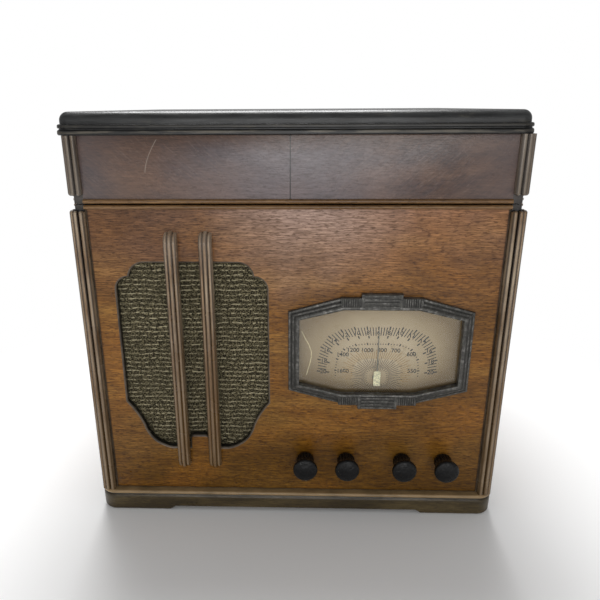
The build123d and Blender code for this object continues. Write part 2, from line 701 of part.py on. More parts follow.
def platter_mat():
    low = PLATTER_TOP + CLEAR
    mat = rod_z(PLATTER_X, PLATTER_DEPTH, (low, MAT_TOP), PLATTER_R - 4)
    mat = fillet(mat.faces().sort_by(Axis.Z)[-1].edges(), 0.8)
    return mat - rod_z(PLATTER_X, PLATTER_DEPTH, (low - 1, MAT_TOP + 1), SPINDLE_FOOT_R + 0.3)


def spindle():
    """Motor shaft, carried up through the platter and stepped down above the mat for a record."""
    pin = rod_z(PLATTER_X, PLATTER_DEPTH, (MAT_TOP - 1, SPINDLE_TOP), SPINDLE_R)
    pin = fillet(pin.faces().sort_by(Axis.Z)[-1].edges(), 2.4)
    return pin + rod_z(PLATTER_X, PLATTER_DEPTH, (300, MAT_TOP), SPINDLE_FOOT_R)


def tonearm_base():
    base = rod_z(ARM_X, ARM_DEPTH, (DECK_Z + CLEAR, DECK_Z + 3), 24)
    base = fillet(base.faces().sort_by(Axis.Z)[-1].edges(), 1.2)
    base += rod_z(ARM_X, ARM_DEPTH, (DECK_Z + 3, 352), 12)
    return base - rod_z(ARM_X, ARM_DEPTH, (335, 353), 4.05)


def tonearm_yoke():
    """Swivel fork: a pin in the base, and two ears that carry the arm's trunnions."""
    yoke = rod_z(ARM_X, ARM_DEPTH, (336, 353), 4.0)
    yoke += rod_z(ARM_X, ARM_DEPTH, (352.4, 356), 13)
    for side in (-1, 1):
        x = sorted((ARM_X + side * 9, ARM_X + side * 12))
        ear = block(x, (ARM_DEPTH - 6, ARM_DEPTH + 6), (355, ARM_PIVOT_Z))
        ear += rod_x(x, ARM_DEPTH, ARM_PIVOT_Z, 6)
        yoke += ear
    return yoke - rod_x((ARM_X - 20, ARM_X + 20), ARM_DEPTH, ARM_PIVOT_Z, 2.45)


def tonearm():
    """Pressed arm: deep at its pivot, sloping down to the pickup, with a short tail."""
    pivot = FRONT_Y + ARM_DEPTH
    needle = pivot - ARM_L
    side = Polyline(
        (pivot + 30, ARM_PIVOT_Z - 5),
        (pivot + 30, ARM_PIVOT_Z + 3),
        (pivot + 10, ARM_PIVOT_Z + 8),
        (pivot - 60, ARM_PIVOT_Z + 8),
        (needle + 70, ARM_PIVOT_Z + 1),
        (needle + 34, ARM_PIVOT_Z - 3),
        (needle + 34, ARM_PIVOT_Z - 14),
        (needle + 80, ARM_PIVOT_Z - 14),
        (pivot - 60, ARM_PIVOT_Z - 8),
        (pivot - 20, ARM_PIVOT_Z - 8),
        close=True,
    )
    profile = Plane(origin=(ARM_X - 8, 0, 0), x_dir=(0, 1, 0), z_dir=(1, 0, 0)) * make_face(side)
    arm = extrude(profile, amount=16)
    upper = arm.edges().filter_by(lambda e: abs(e.center().X - ARM_X) > 7 and e.center().Z > ARM_PIVOT_Z - 4)
    arm = fillet(upper.filter_by(lambda e: abs(e.tangent_at(0.5).Y) > 0.7), 4.0)
    return arm + rod_x((ARM_X - 12, ARM_X + 12), ARM_DEPTH, ARM_PIVOT_Z, 2.4)


def pickup_head():
    """Pickup shell at the arm's end, with its needle chuck and needle."""
    needle_depth = ARM_DEPTH - ARM_L
    shell = block((ARM_X - 12, ARM_X + 12), (needle_depth - 16, needle_depth + 34 - CLEAR), (350.5, 366))
    shell = fillet(shell.edges().filter_by(Axis.Y), 5)
    shell = fillet(shell.faces().sort_by(Axis.Y)[0].edges(), 4)
    chuck = rod_z(ARM_X, needle_depth, (348.5, 352), 2.6)
    screw = rod_y(ARM_X, (needle_depth - 20.5, needle_depth - 10), 357, 2.4)
    needle = Pos(ARM_X, FRONT_Y + needle_depth, 347) * Cone(0.3, 0.8, 4)
    return shell + chuck + screw + needle


def deck_fittings():
    """Rest for the pickup arm, with a stop on its outer side, and the slotted collar of the motor switch."""
    depth = ARM_DEPTH - ARM_L + 90
    rest = rod_z(ARM_X, depth, (DECK_Z + CLEAR, DECK_Z + 2.5), 9)
    rest += rod_z(ARM_X, depth, (DECK_Z + 2.4, 351.6), 3.5)
    rest += block((ARM_X - 9, ARM_X + 12), (depth - 4, depth + 4), (351, 353.6))
    rest += block((ARM_X + 9.5, ARM_X + 12), (depth - 4, depth + 4), (351, 364))
    collar = rod_z(SWITCH_X, SWITCH_DEPTH, (DECK_Z + CLEAR, SWITCH_Z + 2.4), 6.5)
    slot_depth = (SWITCH_DEPTH - 8, SWITCH_DEPTH + 8)
    collar -= block((SWITCH_X - 3, SWITCH_X + 3), slot_depth, (DECK_Z + 0.8, SWITCH_Z + 5))
    collar -= rod_x((SWITCH_X - 8, SWITCH_X + 8), SWITCH_DEPTH, SWITCH_Z, SWITCH_PIN_R + 0.07)
    return Compound([rest, collar])


def phono_switch_lever():
    """Bat lever of the motor switch on its cross pin, leaning to its off side."""
    lever = Pos(0, 0, 9) * Cone(1.6, 2.6, 14) + Pos(0, 0, 16) * Sphere(2.7) + Sphere(2.2)
    lever += Rot(0, 90, 0) * Cylinder(SWITCH_PIN_R, 11)
    return Pos(SWITCH_X, FRONT_Y + SWITCH_DEPTH, SWITCH_Z) * Rot(-SWITCH_REST, 0, 0) * lever


# ---- lid ----
def lid_top_board():
    """Top board with a moulded edge: round-over, quirk, nose and lower bead, carried round the plan."""
    layers = [
        (LID_BOARD_Z, LID_BOARD_Z + 5.0, 0, 2.2),
        (LID_BOARD_Z + 4.9, LID_BOARD_Z + 6.0, 1.8, 0),
        (LID_BOARD_Z + 5.9, LID_BOARD_Z + 9.6, 0.4, 1.7),
        (LID_BOARD_Z + 9.5, TOP_Z, 3.0, 0),
    ]
    board = None
    for low, high, inset, edge in layers:
        width = BOARD_W - 2 * inset
        front, rear = inset - BOARD_PROUD, BODY_D + 1.0
        layer = block((-width / 2, width / 2), (front, rear), (low, high))
        corners = layer.edges().filter_by(Axis.Z).filter_by(lambda e: e.center().Y < 0)
        layer = fillet(corners, BOARD_CORNER_R - inset)
        top = layer.faces().sort_by(Axis.Z)[-1].edges()
        if edge:
            layer = fillet(top, edge)
            layer = chamfer(layer.faces().sort_by(Axis.Z)[0].edges(), edge * 0.4)
        elif high == TOP_Z:
            layer = fillet(top, 8.0)
        board = layer if board is None else board + layer
    return Pos(BOARD_SHIFT, 0, 0) * board


def lid_front_panel():
    return block((-INNER_X, INNER_X), (0, PANEL_T), (LID_LOW, LID_BOARD_Z))


def lid_back_rail():
    return block((-INNER_X, INNER_X), (BODY_D - SIDE_T, BODY_D), (LID_LOW, LID_BOARD_Z))


def hinge_leaves(low, high, knuckles):
    """One leaf of each hinge between two heights, with its share of the barrel, bored for the pin."""
    leaves = []
    depth = (BODY_D + CLEAR, BODY_D + 1.6)
    reach = sorted((SEAM_Z, low if low > SEAM_Z else high))
    for middle in (-HINGE_X, HINGE_X):
        plate = block((middle - HINGE_L / 2, middle + HINGE_L / 2), depth, (low, high))
        for a, b in knuckles:
            barrel = rod_x((middle + a, middle + b), HINGE_DEPTH, SEAM_Z, HINGE_R)
            plate += barrel + block((middle + a, middle + b), depth, reach)
        span = (middle - HINGE_L, middle + HINGE_L)
        leaves.append(plate - rod_x(span, HINGE_DEPTH, SEAM_Z, HINGE_PIN_R + 0.05))
    return leaves


def hinge_case_leaves():
    """Lower leaves with the pins that they hold."""
    end = HINGE_L / 2
    leaves = hinge_leaves(SEAM_Z - 24, SEAM_Z - 4, [(-end, -9), (9, end)])
    pins = [rod_x((x - end - 1, x + end + 1), HINGE_DEPTH, SEAM_Z, HINGE_PIN_R) for x in (-HINGE_X, HINGE_X)]
    return Compound(leaves + pins)


def hinge_lid_leaves():
    return Compound(hinge_leaves(SEAM_Z + 4, SEAM_Z + 24, [(-8.7, 8.7)]))


STAY_HALF = 4.5  # half the quadrant's width
STAY_TAIL = -79.4  # degrees below the hinge, at its stop
STAY_HEAD = 14.0
STAY_T = 2.0


def stay_sector(half, start, end, x_low, x_high):
    """Part of a ring round the hinge line, seen along X. Angles are above the line from hinge to front."""
    inner, outer = STAY_R - half, STAY_R + half

    def at(radius, angle):
        turn = math.radians(angle)
        return (HINGE_Y - radius * math.cos(turn), SEAM_Z + radius * math.sin(turn))

    middle = (start + end) / 2
    outline = Line(at(inner, start), at(outer, start))
    outline += ThreePointArc(at(outer, start), at(outer, middle), at(outer, end))
    outline += Line(at(outer, end), at(inner, end))
    outline += ThreePointArc(at(inner, end), at(inner, middle), at(inner, start))
    plane = Plane(origin=(x_low, 0, 0), x_dir=(0, 1, 0), z_dir=(1, 0, 0))
    return extrude(plane * make_face(outline), amount=x_high - x_low)


def lid_stay():
    """Quadrant stay, curved about the hinge line, with a stop at its tail and a foot on the lid's side."""
    stay = stay_sector(STAY_HALF, STAY_TAIL, STAY_HEAD, STAY_X, STAY_X + STAY_T)
    turn = math.radians(STAY_TAIL)
    tail_depth = HINGE_DEPTH - STAY_R * math.cos(turn)
    stay += rod_x((STAY_X - 1, STAY_X + STAY_T + 1), tail_depth, SEAM_Z + STAY_R * math.sin(turn), 5.0)
    depth = HINGE_DEPTH - STAY_R
    return stay + block((STAY_X, INNER_X), (depth - 4, depth + 8), (SEAM_Z + 14, SEAM_Z + 34))


def stay_guide():
    """Keeper on the case side that the quadrant slides through."""
    depth = HINGE_DEPTH - STAY_R
    guide = block((STAY_X - 2.5, INNER_X), (depth - 8, depth + 8), (SEAM_Z - 10, SEAM_Z - 4))
    return guide - stay_sector(STAY_HALF + 0.5, -12, 2, STAY_X - 0.5, STAY_X + STAY_T + 0.5)


# ---- screws ----
def dome_screw(length):
    """Slotted round-head screw standing on z=0, pointing down."""
    head = Sphere(4.0) & Pos(0, 0, 4) * Box(10, 10, 4.0)
    head = Pos(0, 0, -2.0) * head
    shank_top = 0.5
    shank = Pos(0, 0, (shank_top - length) / 2) * Cylinder(SCREW_R, length + shank_top)
    return head + shank - Pos(0, 0, 2) * Box(9, 0.9, 1.4)


def cabinet_screws():
    """Screws of the motor board, back cover, chassis and loudspeaker."""
    return Compound([place * dome_screw(length - 1) for place, length in screw_places()])


# ---- write every piece ----
def main():
    os.makedirs("parts", exist_ok=True)
    right_side, right_lid_side = side_panel(PLINTH_H, CASE_TOP), side_panel(LID_LOW, LID_BOARD_Z)
    right_post, right_lid_post = case_post(), lid_post()
    pieces = {
        "front_panel": front_panel(),
        "side_panel_right": right_side,
        "side_panel_left": mirror(right_side, about=Plane.YZ),
        "bottom_board": bottom_board(),
        "inner_rails": inner_rails(),
        "back_cover": back_cover(),
        "cord_grommet": cord_grommet(),
        "corner_post_right": right_post,
        "corner_post_left": mirror(right_post, about=Plane.YZ),
        "case_bead": bead(CASE_TOP - BEAD_H),
        "plinth": plinth(),
        "grille_bars": Compound([grille_bar(GRILLE_X - BAR_SPREAD), grille_bar(GRILLE_X + BAR_SPREAD)]),
        "grille_cloth": grille_cloth(),
        "speaker_baffle": speaker_baffle(),
        "dial_escutcheon": dial_escutcheon(),
        "dial_glass": dial_glass(),
        "dial_plate": dial_plate(),
        "pointer": pointer(),
        "control_bodies": control_bodies(),
        "chassis": chassis(),
        "power_transformer": power_transformer(),
        "if_cans": if_cans(),
        "tubes": tubes(),
        "gang_frame": gang_frame(),
        "gang_rotor": gang_rotor(),
        "tuning_drive_cord": tuning_drive_cord(),
        "speaker_frame": speaker_frame(),
        "speaker_cone": speaker_cone(),
        "motor_board": motor_board(),
        "phono_motor": phono_motor(),
        "turntable_platter": turntable_platter(),
        "platter_mat": platter_mat(),
        "spindle": spindle(),
        "tonearm_base": tonearm_base(),
        "tonearm_yoke": tonearm_yoke(),
        "tonearm": tonearm(),
        "pickup_head": pickup_head(),
        "deck_fittings": deck_fittings(),
        "phono_switch_lever": phono_switch_lever(),
        "lid_top_board": lid_top_board(),
        "lid_front_panel": lid_front_panel(),
        "lid_side_right": right_lid_side,
        "lid_side_left": mirror(right_lid_side, about=Plane.YZ),
        "lid_back_rail": lid_back_rail(),
        "lid_post_right": right_lid_post,
        "lid_post_left": mirror(right_lid_post, about=Plane.YZ),
        "lid_bead": bead(LID_LOW),
        "lid_stay": lid_stay(),
        "stay_guide": stay_guide(),
        "hinge_case_leaves": hinge_case_leaves(),
        "hinge_lid_leaves": hinge_lid_leaves(),
        "cabinet_screws": cabinet_screws(),
    }
    for name, spread in zip(KNOB_NAMES, KNOB_SPREAD):
        pieces[f"{name}_knob"] = knob(DIAL_X + spread)
        pieces[f"{name}_shaft"] = shaft(DIAL_X + spread)
    for name, piece in pieces.items():
        export_step(piece, f"parts/{name}.step")
    print(len(pieces), "pieces written")


main()
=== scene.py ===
import json
import math
import bpy
from mathutils import Matrix, Vector, noise

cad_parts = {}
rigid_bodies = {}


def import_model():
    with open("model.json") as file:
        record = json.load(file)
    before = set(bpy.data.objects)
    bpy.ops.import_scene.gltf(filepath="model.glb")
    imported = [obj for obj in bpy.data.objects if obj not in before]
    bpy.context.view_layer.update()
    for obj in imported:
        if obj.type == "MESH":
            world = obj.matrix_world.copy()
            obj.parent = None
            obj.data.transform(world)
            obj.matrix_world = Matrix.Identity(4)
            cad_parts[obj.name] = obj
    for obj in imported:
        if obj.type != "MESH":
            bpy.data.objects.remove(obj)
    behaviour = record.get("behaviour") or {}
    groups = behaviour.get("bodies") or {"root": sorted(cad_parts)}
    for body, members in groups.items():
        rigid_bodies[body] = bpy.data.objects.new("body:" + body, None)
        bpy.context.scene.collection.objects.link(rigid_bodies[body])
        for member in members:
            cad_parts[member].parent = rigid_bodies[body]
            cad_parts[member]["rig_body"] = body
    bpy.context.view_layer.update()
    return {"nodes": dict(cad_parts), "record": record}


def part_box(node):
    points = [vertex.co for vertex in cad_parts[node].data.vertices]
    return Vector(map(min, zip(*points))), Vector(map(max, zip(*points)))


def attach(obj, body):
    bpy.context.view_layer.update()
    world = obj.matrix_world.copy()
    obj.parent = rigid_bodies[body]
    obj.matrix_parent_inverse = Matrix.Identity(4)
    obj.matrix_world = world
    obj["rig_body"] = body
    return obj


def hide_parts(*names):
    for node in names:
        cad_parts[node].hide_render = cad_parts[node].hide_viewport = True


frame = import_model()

# A wooden tabletop radio with a record player under its lid. Metres, +Z up, -Y to the front.
# Boards and castings from the frame keep their shape and get their finish here. Where the frame's solid is
# too plain, a finer piece replaces it.

MM = 0.001
AMBIENT = 0.42  # the studio's own light, next to 1 for the white behind
SEED = 7
scene = bpy.context.scene
nodes = frame["nodes"]

panel_low, panel_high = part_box("front_panel")
FRONT = panel_low.y  # the front panel's face
BACK = panel_high.y
LEFT, RIGHT = panel_low.x, panel_high.x


def middle(node):
    low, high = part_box(node)
    return (low + high) / 2


# ---------------------------------------------------------------- camera, light and floor
def add_camera():
    data = bpy.data.cameras.new("camera")
    data.lens, data.sensor_width, data.shift_x = 34.32, 36.0, 0.031
    data.clip_start = 0.01
    camera = bpy.data.objects.new("camera", data)
    scene.collection.objects.link(camera)
    yaw, pitch, roll = math.radians(1.92), math.radians(18.70), math.radians(-0.33)
    turn = Matrix.Rotation(yaw, 4, "Z") @ Matrix.Rotation(math.pi / 2 - pitch, 4, "X")
    turn = turn @ Matrix.Rotation(roll, 4, "Z")
    camera.matrix_world = Matrix.Translation((4.1 * MM, FRONT - 0.5332, 0.4274)) @ turn
    scene.camera = camera


def soft_light(name, place, target, size, power):
    data = bpy.data.lights.new(name, "AREA")
    data.shape, data.size, data.size_y, data.energy = "RECTANGLE", size[0], size[1], power
    light = bpy.data.objects.new(name, data)
    scene.collection.objects.link(light)
    light.location = place
    light.rotation_euler = (Vector(target) - Vector(place)).to_track_quat("-Z", "Y").to_euler()
    light.visible_camera = False


def add_stage():
    """Pale floor that runs out into white, a large light above and behind, and a weaker one far in front."""
    bpy.ops.mesh.primitive_plane_add(size=30, location=(0, 0, 0))
    floor = bpy.context.object
    floor.name = "floor"
    paint = Finish("floor_paint", roughness=0.8, specular=0.1)
    paint.base(paint.ramp(paint.noise(paint.at, 3, 2), (0.3, (0.88, 0.88, 0.88)), (0.7, (0.90, 0.90, 0.90))))
    x, y, _ = paint.axes()
    aside = paint.math("MULTIPLY", paint.math("ADD", x, 0.02), 1.25)
    behind = paint.math("ADD", y, 0.3)
    behind = paint.math("MAXIMUM", behind, paint.math("MULTIPLY", behind, -0.55))
    reach = paint.math("SQRT", paint.math("MULTIPLY_ADD", aside, aside, paint.math("MULTIPLY", behind, behind)))
    seen = paint.node("LightPath").outputs["Is Camera Ray"]
    white = paint.math("MULTIPLY", paint.spread(reach, 0.34, 0.85), seen)
    glow = paint.node("Emission", {"Color": (1, 1, 1), "Strength": 1.0})
    shade = paint.node("MixShader", {0: white, 1: paint.shader.outputs[0], 2: glow.outputs[0]})
    paint.tree.links.new(shade.outputs[0], paint.tree.nodes["Material Output"].inputs["Surface"])
    floor.data.materials.append(paint.material)
    world = bpy.data.worlds.new("studio")
    scene.world = world
    world.use_nodes = True
    tree = world.node_tree
    path = tree.nodes.new("ShaderNodeLightPath")  # what the camera sees past the floor is plain white
    strength = tree.nodes.new("ShaderNodeMapRange")
    strength.inputs["To Min"].default_value, strength.inputs["To Max"].default_value = AMBIENT, 1.0
    tree.links.new(path.outputs["Is Camera Ray"], strength.inputs["Value"])
    tree.links.new(strength.outputs["Result"], tree.nodes["Background"].inputs["Strength"])
    tree.nodes["Background"].inputs["Color"].default_value = (1.0, 1.0, 1.0, 1)
    soft_light("key", (-0.14, 0.85, 1.95), (0, 0, 0.1), (1.2, 1.2), 58)
    soft_light("front_card", (0.05, -2.4, 0.62), (0, 0, 0.35), (1.5, 1.1), 17)
    scene.view_settings.view_transform = "Standard"
    scene.view_settings.exposure = 0.0


# ---------------------------------------------------------------- materials
class Finish:
    """A Principled material, with one short call for each kind of node."""

    def __init__(self, name, roughness=0.5, specular=0.5, metallic=0.0):
        self.material = bpy.data.materials.new(name)
        self.material.use_nodes = True
        self.tree = self.material.node_tree
        self.shader = self.tree.nodes["Principled BSDF"]
        self.value("Roughness", roughness)
        self.value("Specular IOR Level", specular)
        self.value("Metallic", metallic)
        self.at = self.node("TexCoord").outputs["Object"]

    def value(self, socket, value):
        target = self.shader.inputs[socket]
        if isinstance(value, bpy.types.NodeSocket):
            self.tree.links.new(value, target)
        else:
            target.default_value = value

    def node(self, kind, values=None, **settings):
        node = self.tree.nodes.new("ShaderNode" + kind)
        for key, value in settings.items():
            setattr(node, key, value)
        for key, value in (values or {}).items():
            if isinstance(value, bpy.types.NodeSocket):
                self.tree.links.new(value, node.inputs[key])
            else:
                if isinstance(value, tuple) and len(value) == 3 and node.inputs[key].type == "RGBA":
                    value = (*value, 1)
                node.inputs[key].default_value = value
        return node

    def scaled(self, vector, scale, turn=(0, 0, 0), move=(0, 0, 0)):
        values = {"Vector": vector, "Scale": scale, "Rotation": turn, "Location": move}
        return self.node("Mapping", values).outputs["Vector"]

    def noise(self, vector, scale, detail=2.0, roughness=0.5, distortion=0.0):
        values = {"Vector": vector, "Scale": scale, "Detail": detail, "Roughness": roughness}
        values["Distortion"] = distortion
        return self.node("TexNoise", values).outputs["Fac"]

    def cells(self, vector, scale):
        return self.node("TexVoronoi", {"Vector": vector, "Scale": scale}).outputs["Distance"]

    def math(self, operation, first, second=0.0, third=0.0):
        return self.node("Math", {0: first, 1: second, 2: third}, operation=operation).outputs[0]

    def spread(self, value, low, high, new_low=0.0, new_high=1.0):
        """value's stretch from low to high, carried to new_low to new_high and held there outside it."""
        values = {"Value": value, "From Min": low, "From Max": high, "To Min": new_low, "To Max": new_high}
        return self.node("MapRange", values).outputs["Result"]

    def ramp(self, value, *stops):
        node = self.node("ValToRGB", {"Fac": value})
        ramp = node.color_ramp
        while len(ramp.elements) < len(stops):
            ramp.elements.new(0.5)
        for element, (place, colour) in zip(ramp.elements, stops):
            element.position, element.color = place, (*colour, 1)
        return node.outputs["Color"]

    def mix(self, amount, first, second, blend="MIX"):
        node = self.node("Mix", data_type="RGBA", blend_type=blend)
        for index, value in ((0, amount), (6, first), (7, second)):
            if isinstance(value, bpy.types.NodeSocket):
                self.tree.links.new(value, node.inputs[index])
            else:
                node.inputs[index].default_value = (*value, 1) if isinstance(value, tuple) else value
        return node.outputs[2]

    def axes(self, vector=None):
        return self.node("SeparateXYZ", {"Vector": vector or self.at}).outputs

    # An occlusion mask. It places dust in hollows, paints shade into grooves and corners, and paints highlights
    # onto crowns.
    def grime_and_shade(self, distance, samples=8):
        """1 in the open, towards 0 deep in grooves and corners of the piece itself."""
        node = self.node("AmbientOcclusion", {"Distance": distance}, samples=samples, only_local=True)
        return node.outputs["AO"]

    def base(self, colour):
        self.value("Base Color", colour)

    def bump(self, height, distance, strength=1.0):
        values = {"Height": height, "Distance": distance, "Strength": strength}
        if self.shader.inputs["Normal"].links:
            values["Normal"] = self.shader.inputs["Normal"].links[0].from_socket
        self.value("Normal", self.node("Bump", values).outputs["Normal"])


def along(grain, long_scale, cross_scale):
    """Scale of a texture that is drawn out along the grain, which is axis 0, 1 or 2."""
    scale = [cross_scale] * 3
    scale[grain] = long_scale
    return tuple(scale)


def wood(name, grain, dark, mid, light, gloss=0.34, specular=0.4, streak=0.6, pores=0.6, dirt_and_shade=0.6,
         dirt_and_shade_reach=0.004, place=None, ground=None, tint=None):
    """Lacquered timber: broad tone, streaks and pores along the grain, grooves darkened by dust and painted
    shade, dulled lacquer.
    ground changes the colour under the grain, and tint changes it over the grain."""
    finish = Finish(name, specular=specular)
    at = place(finish) if place else finish.at
    warp = finish.noise(finish.scaled(at, along(grain, 3.0, 14.0)), 1.0, 2)
    bent = finish.node("VectorMath", {0: at, 1: finish.node("CombineXYZ", {
        "XYZ"[(grain + 1) % 3]: finish.math("MULTIPLY", warp, 0.012),
        "XYZ"[(grain + 2) % 3]: finish.math("MULTIPLY", warp, 0.012)}).outputs["Vector"]}).outputs["Vector"]
    broad = finish.noise(finish.scaled(bent, along(grain, 6.0, 40.0)), 1.0, 3, 0.6)
    colour = finish.ramp(broad, (0.32, dark), (0.50, mid), (0.68, light))
    if ground:
        colour = ground(finish, colour)
    fine = finish.noise(finish.scaled(bent, along(grain, 62.0, 880.0)), 1.0, 4, 0.7)
    colour = finish.mix(finish.spread(fine, 0.42, 0.62, 0.0, streak), colour, (0.42, 0.36, 0.30), "MULTIPLY")
    colour = finish.mix(finish.spread(fine, 0.30, 0.47, streak, 0.0), colour, (1.5, 1.5, 1.5), "MULTIPLY")
    pore = finish.noise(finish.scaled(bent, along(grain, 190.0, 1200.0)), 1.0, 2, 0.5)
    pore_mask = finish.spread(pore, 0.54, 0.62)
    colour = finish.mix(finish.math("MULTIPLY", pore_mask, pores), colour, (0.36, 0.30, 0.24), "MULTIPLY")
    if tint:
        colour = tint(finish, colour)
    # Painted shade, with dust: the piece's grooves and corners darken.
    if dirt_and_shade:
        colour = finish.mix(finish.spread(finish.grime_and_shade(dirt_and_shade_reach), 0.4, 0.92, dirt_and_shade, 0.0), colour,
                            tuple(c * 0.10 for c in dark))
    finish.base(colour)
    dull = finish.noise(finish.at, 26.0, 3, 0.6)
    finish.value("Roughness", finish.spread(dull, 0.3, 0.75, gloss - 0.07, gloss + 0.12))
    finish.bump(finish.mix(0.5, finish.mix(1.0, fine, pore_mask, "SUBTRACT"), fine), 0.00015, 0.4)
    return finish.material


def scuffs(finish, colour, pale, density=30.0, amount=0.5):
    """Small chips and dents that show the bare wood."""
    cell = finish.cells(finish.at, density)
    size = finish.noise(finish.at, density * 1.7, 2)
    spot = finish.math("SUBTRACT", cell, finish.math("MULTIPLY", size, 0.06))
    return finish.mix(finish.spread(spot, 0.0, 0.018, amount, 0.0), colour, pale)


WALNUT = {"dark": (0.128, 0.050, 0.006), "mid": (0.222, 0.095, 0.015), "light": (0.320, 0.155, 0.032)}
MOULDING = {"dark": (0.130, 0.066, 0.022), "mid": (0.180, 0.096, 0.036), "light": (0.245, 0.140, 0.058)}


def front_ground(finish, colour):
    """The front's tone: a painted pink reflection along the top, paler and stronger in the middle, olive and
    dark at the foot.
    """
    x, _, z = finish.axes()
    drift = finish.math("MULTIPLY_ADD", finish.noise(finish.at, 9.0, 2), 0.12, -0.06)
    high = finish.math("ADD", z, drift)
    # Painted reflection: a pink sheen along the top.
    colour = finish.mix(finish.spread(high, 0.25, 0.34, 0.0, 0.6), colour, (0.320, 0.175, 0.125))
    colour = finish.mix(finish.spread(high, 0.05, 0.20, 0.72, 0.0), colour, (0.100, 0.045, 0.001))
    cloud = finish.noise(finish.scaled(finish.at, (7.0, 1.0, 12.0)), 1.0, 3, 0.55)
    colour = finish.mix(finish.spread(cloud, 0.45, 0.68, 0.0, 0.25), colour, (0.105, 0.050, 0.010))
    glow = finish.noise(finish.scaled(finish.at, (11.0, 1.0, 17.0), move=(0.4, 0.0, 0.7)), 1.0, 2, 0.5)
    colour = finish.mix(finish.spread(glow, 0.52, 0.70, 0.0, 0.5), colour, (0.340, 0.135, 0.018))
    corner = finish.math("MULTIPLY", finish.spread(x, -0.12, 0.02, 1.0, 0.0), finish.spread(high, 0.27, 0.33))
    colour = finish.mix(finish.math("MULTIPLY", corner, 0.75), colour, (0.115, 0.052, 0.022))
    # Painted reflection: paler still in the middle of the top.
    centre = finish.math("ABSOLUTE", finish.math("ADD", x, -0.012))
    reflection_haze = finish.spread(centre, 0.02, 0.10, 0.75, 0.0)
    reflection_haze = finish.math("MULTIPLY", reflection_haze, finish.spread(high, 0.24, 0.32))
    return finish.mix(reflection_haze, colour, (0.430, 0.300, 0.245))


def front_tint(finish, colour):
    """Stain along the front's edges, and chips."""
    x, _, z = finish.axes()
    edge = finish.math("ABSOLUTE", x)
    edge = finish.spread(edge, RIGHT - 0.0034, RIGHT - 0.0016, 0.0, 0.95)
    colour = finish.mix(edge, colour, (0.006, 0.005, 0.004))
    foot = finish.spread(z, 0.0252, 0.0290, 0.75, 0.0)
    colour = finish.mix(foot, colour, (0.020, 0.011, 0.004))
    return scuffs(finish, colour, (0.62, 0.46, 0.27), 26.0, 0.75)


JOINT_X = -0.005  # the joint in the middle of the lid's front
SEAM_Z = 0.3422  # the middle of the posts' necks


def from_joint(finish):
    """Distance to either side of the lid's joint."""
    x, _, _ = finish.axes()
    return finish.math("ABSOLUTE", finish.math("SUBTRACT", x, JOINT_X))


def lid_ground(finish, colour):
    """The lid's front: crotch figure that mirrors about the joint in the middle, under a painted grey
    reflection.
    """
    x, _, z = finish.axes()
    side = from_joint(finish)
    slant = finish.math("MULTIPLY_ADD", z, -1.1, side)
    feather = finish.node("CombineXYZ", {"X": slant, "Z": z}).outputs["Vector"]
    flame = finish.noise(finish.scaled(feather, (26.0, 1.0, 14.0)), 1.0, 3, 0.5, 1.2)
    colour = finish.mix(finish.spread(flame, 0.42, 0.70, 0.0, 0.6), colour, (0.065, 0.042, 0.042))
    colour = finish.mix(finish.spread(flame, 0.26, 0.46, 0.25, 0.0), colour, (0.180, 0.118, 0.092))
    ripple = finish.noise(finish.scaled(feather, (420.0, 1.0, 130.0)), 1.0, 2, 0.6, 0.6)
    colour = finish.mix(finish.spread(ripple, 0.46, 0.62, 0.0, 0.7), colour, (0.040, 0.026, 0.024))
    colour = finish.mix(finish.spread(ripple, 0.30, 0.44, 0.45, 0.0), colour, (0.190, 0.145, 0.125))
    patch = finish.noise(finish.scaled(finish.at, (10.0, 1.0, 17.0)), 1.0, 2)
    colour = finish.mix(finish.spread(patch, 0.50, 0.66, 0.0, 0.65), colour, (0.170, 0.085, 0.042))
    warm = finish.noise(finish.scaled(finish.at, (16.0, 1.0, 34.0), move=(0.3, 0.0, 0.2)), 1.0, 3, 0.6)
    warm = finish.math("MULTIPLY", finish.spread(warm, 0.42, 0.62), finish.spread(x, 0.04, 0.15, 0.1, 0.55))
    colour = finish.mix(warm, colour, (0.270, 0.158, 0.098))
    # Painted reflection: a grey sheen over the middle of the lid's front.
    reflection_haze = finish.math("MULTIPLY", finish.spread(side, 0.03, 0.15, 0.62, 0.0), finish.spread(z, 0.405, 0.385))
    colour = finish.mix(reflection_haze, colour, (0.170, 0.150, 0.166))
    rim = finish.spread(z, 0.392, 0.402, 0.0, 0.5)
    return finish.mix(rim, colour, (0.085, 0.044, 0.026))


def lid_tint(finish, colour):
    """The lid's greyer ends, the joint in the middle of its front, and a long scratch."""
    x, _, z = finish.axes()
    side = from_joint(finish)
    colour = finish.mix(finish.spread(side, 0.120, 0.195, 0.0, 0.5), colour, (0.106, 0.095, 0.102))
    joint = finish.spread(side, 0.0003, 0.0007, 0.95, 0.0)
    low = finish.math("SUBTRACT", z, 0.3448)
    chip = finish.math("SQRT", finish.math("MULTIPLY_ADD", low, low, finish.math("MULTIPLY", side, side)))
    joint = finish.math("MAXIMUM", joint, finish.spread(chip, 0.0012, 0.0020, 1.0, 0.0))
    colour = finish.mix(joint, colour, (0.006, 0.004, 0.003))
    bow = finish.math("POWER", finish.math("MULTIPLY", finish.math("SUBTRACT", z, 0.370), 33.0), 1.6)
    bow = finish.math("MULTIPLY_ADD", bow, 0.013, -0.1390)
    scratch = finish.math("ABSOLUTE", finish.math("SUBTRACT", x, bow))
    length = finish.spread(z, 0.3990, 0.4000, 1.0, 0.0)
    length = finish.math("MULTIPLY", finish.spread(z, 0.370, 0.3705), length)
    scratch = finish.math("MULTIPLY", finish.spread(scratch, 0.0001, 0.0005, 0.50, 0.0), length)
    return finish.mix(scratch, colour, (0.42, 0.36, 0.30))


def mirrored_place(finish):
    _, y, z = finish.axes()
    return finish.node("CombineXYZ", {"X": from_joint(finish), "Y": y, "Z": z}).outputs["Vector"]


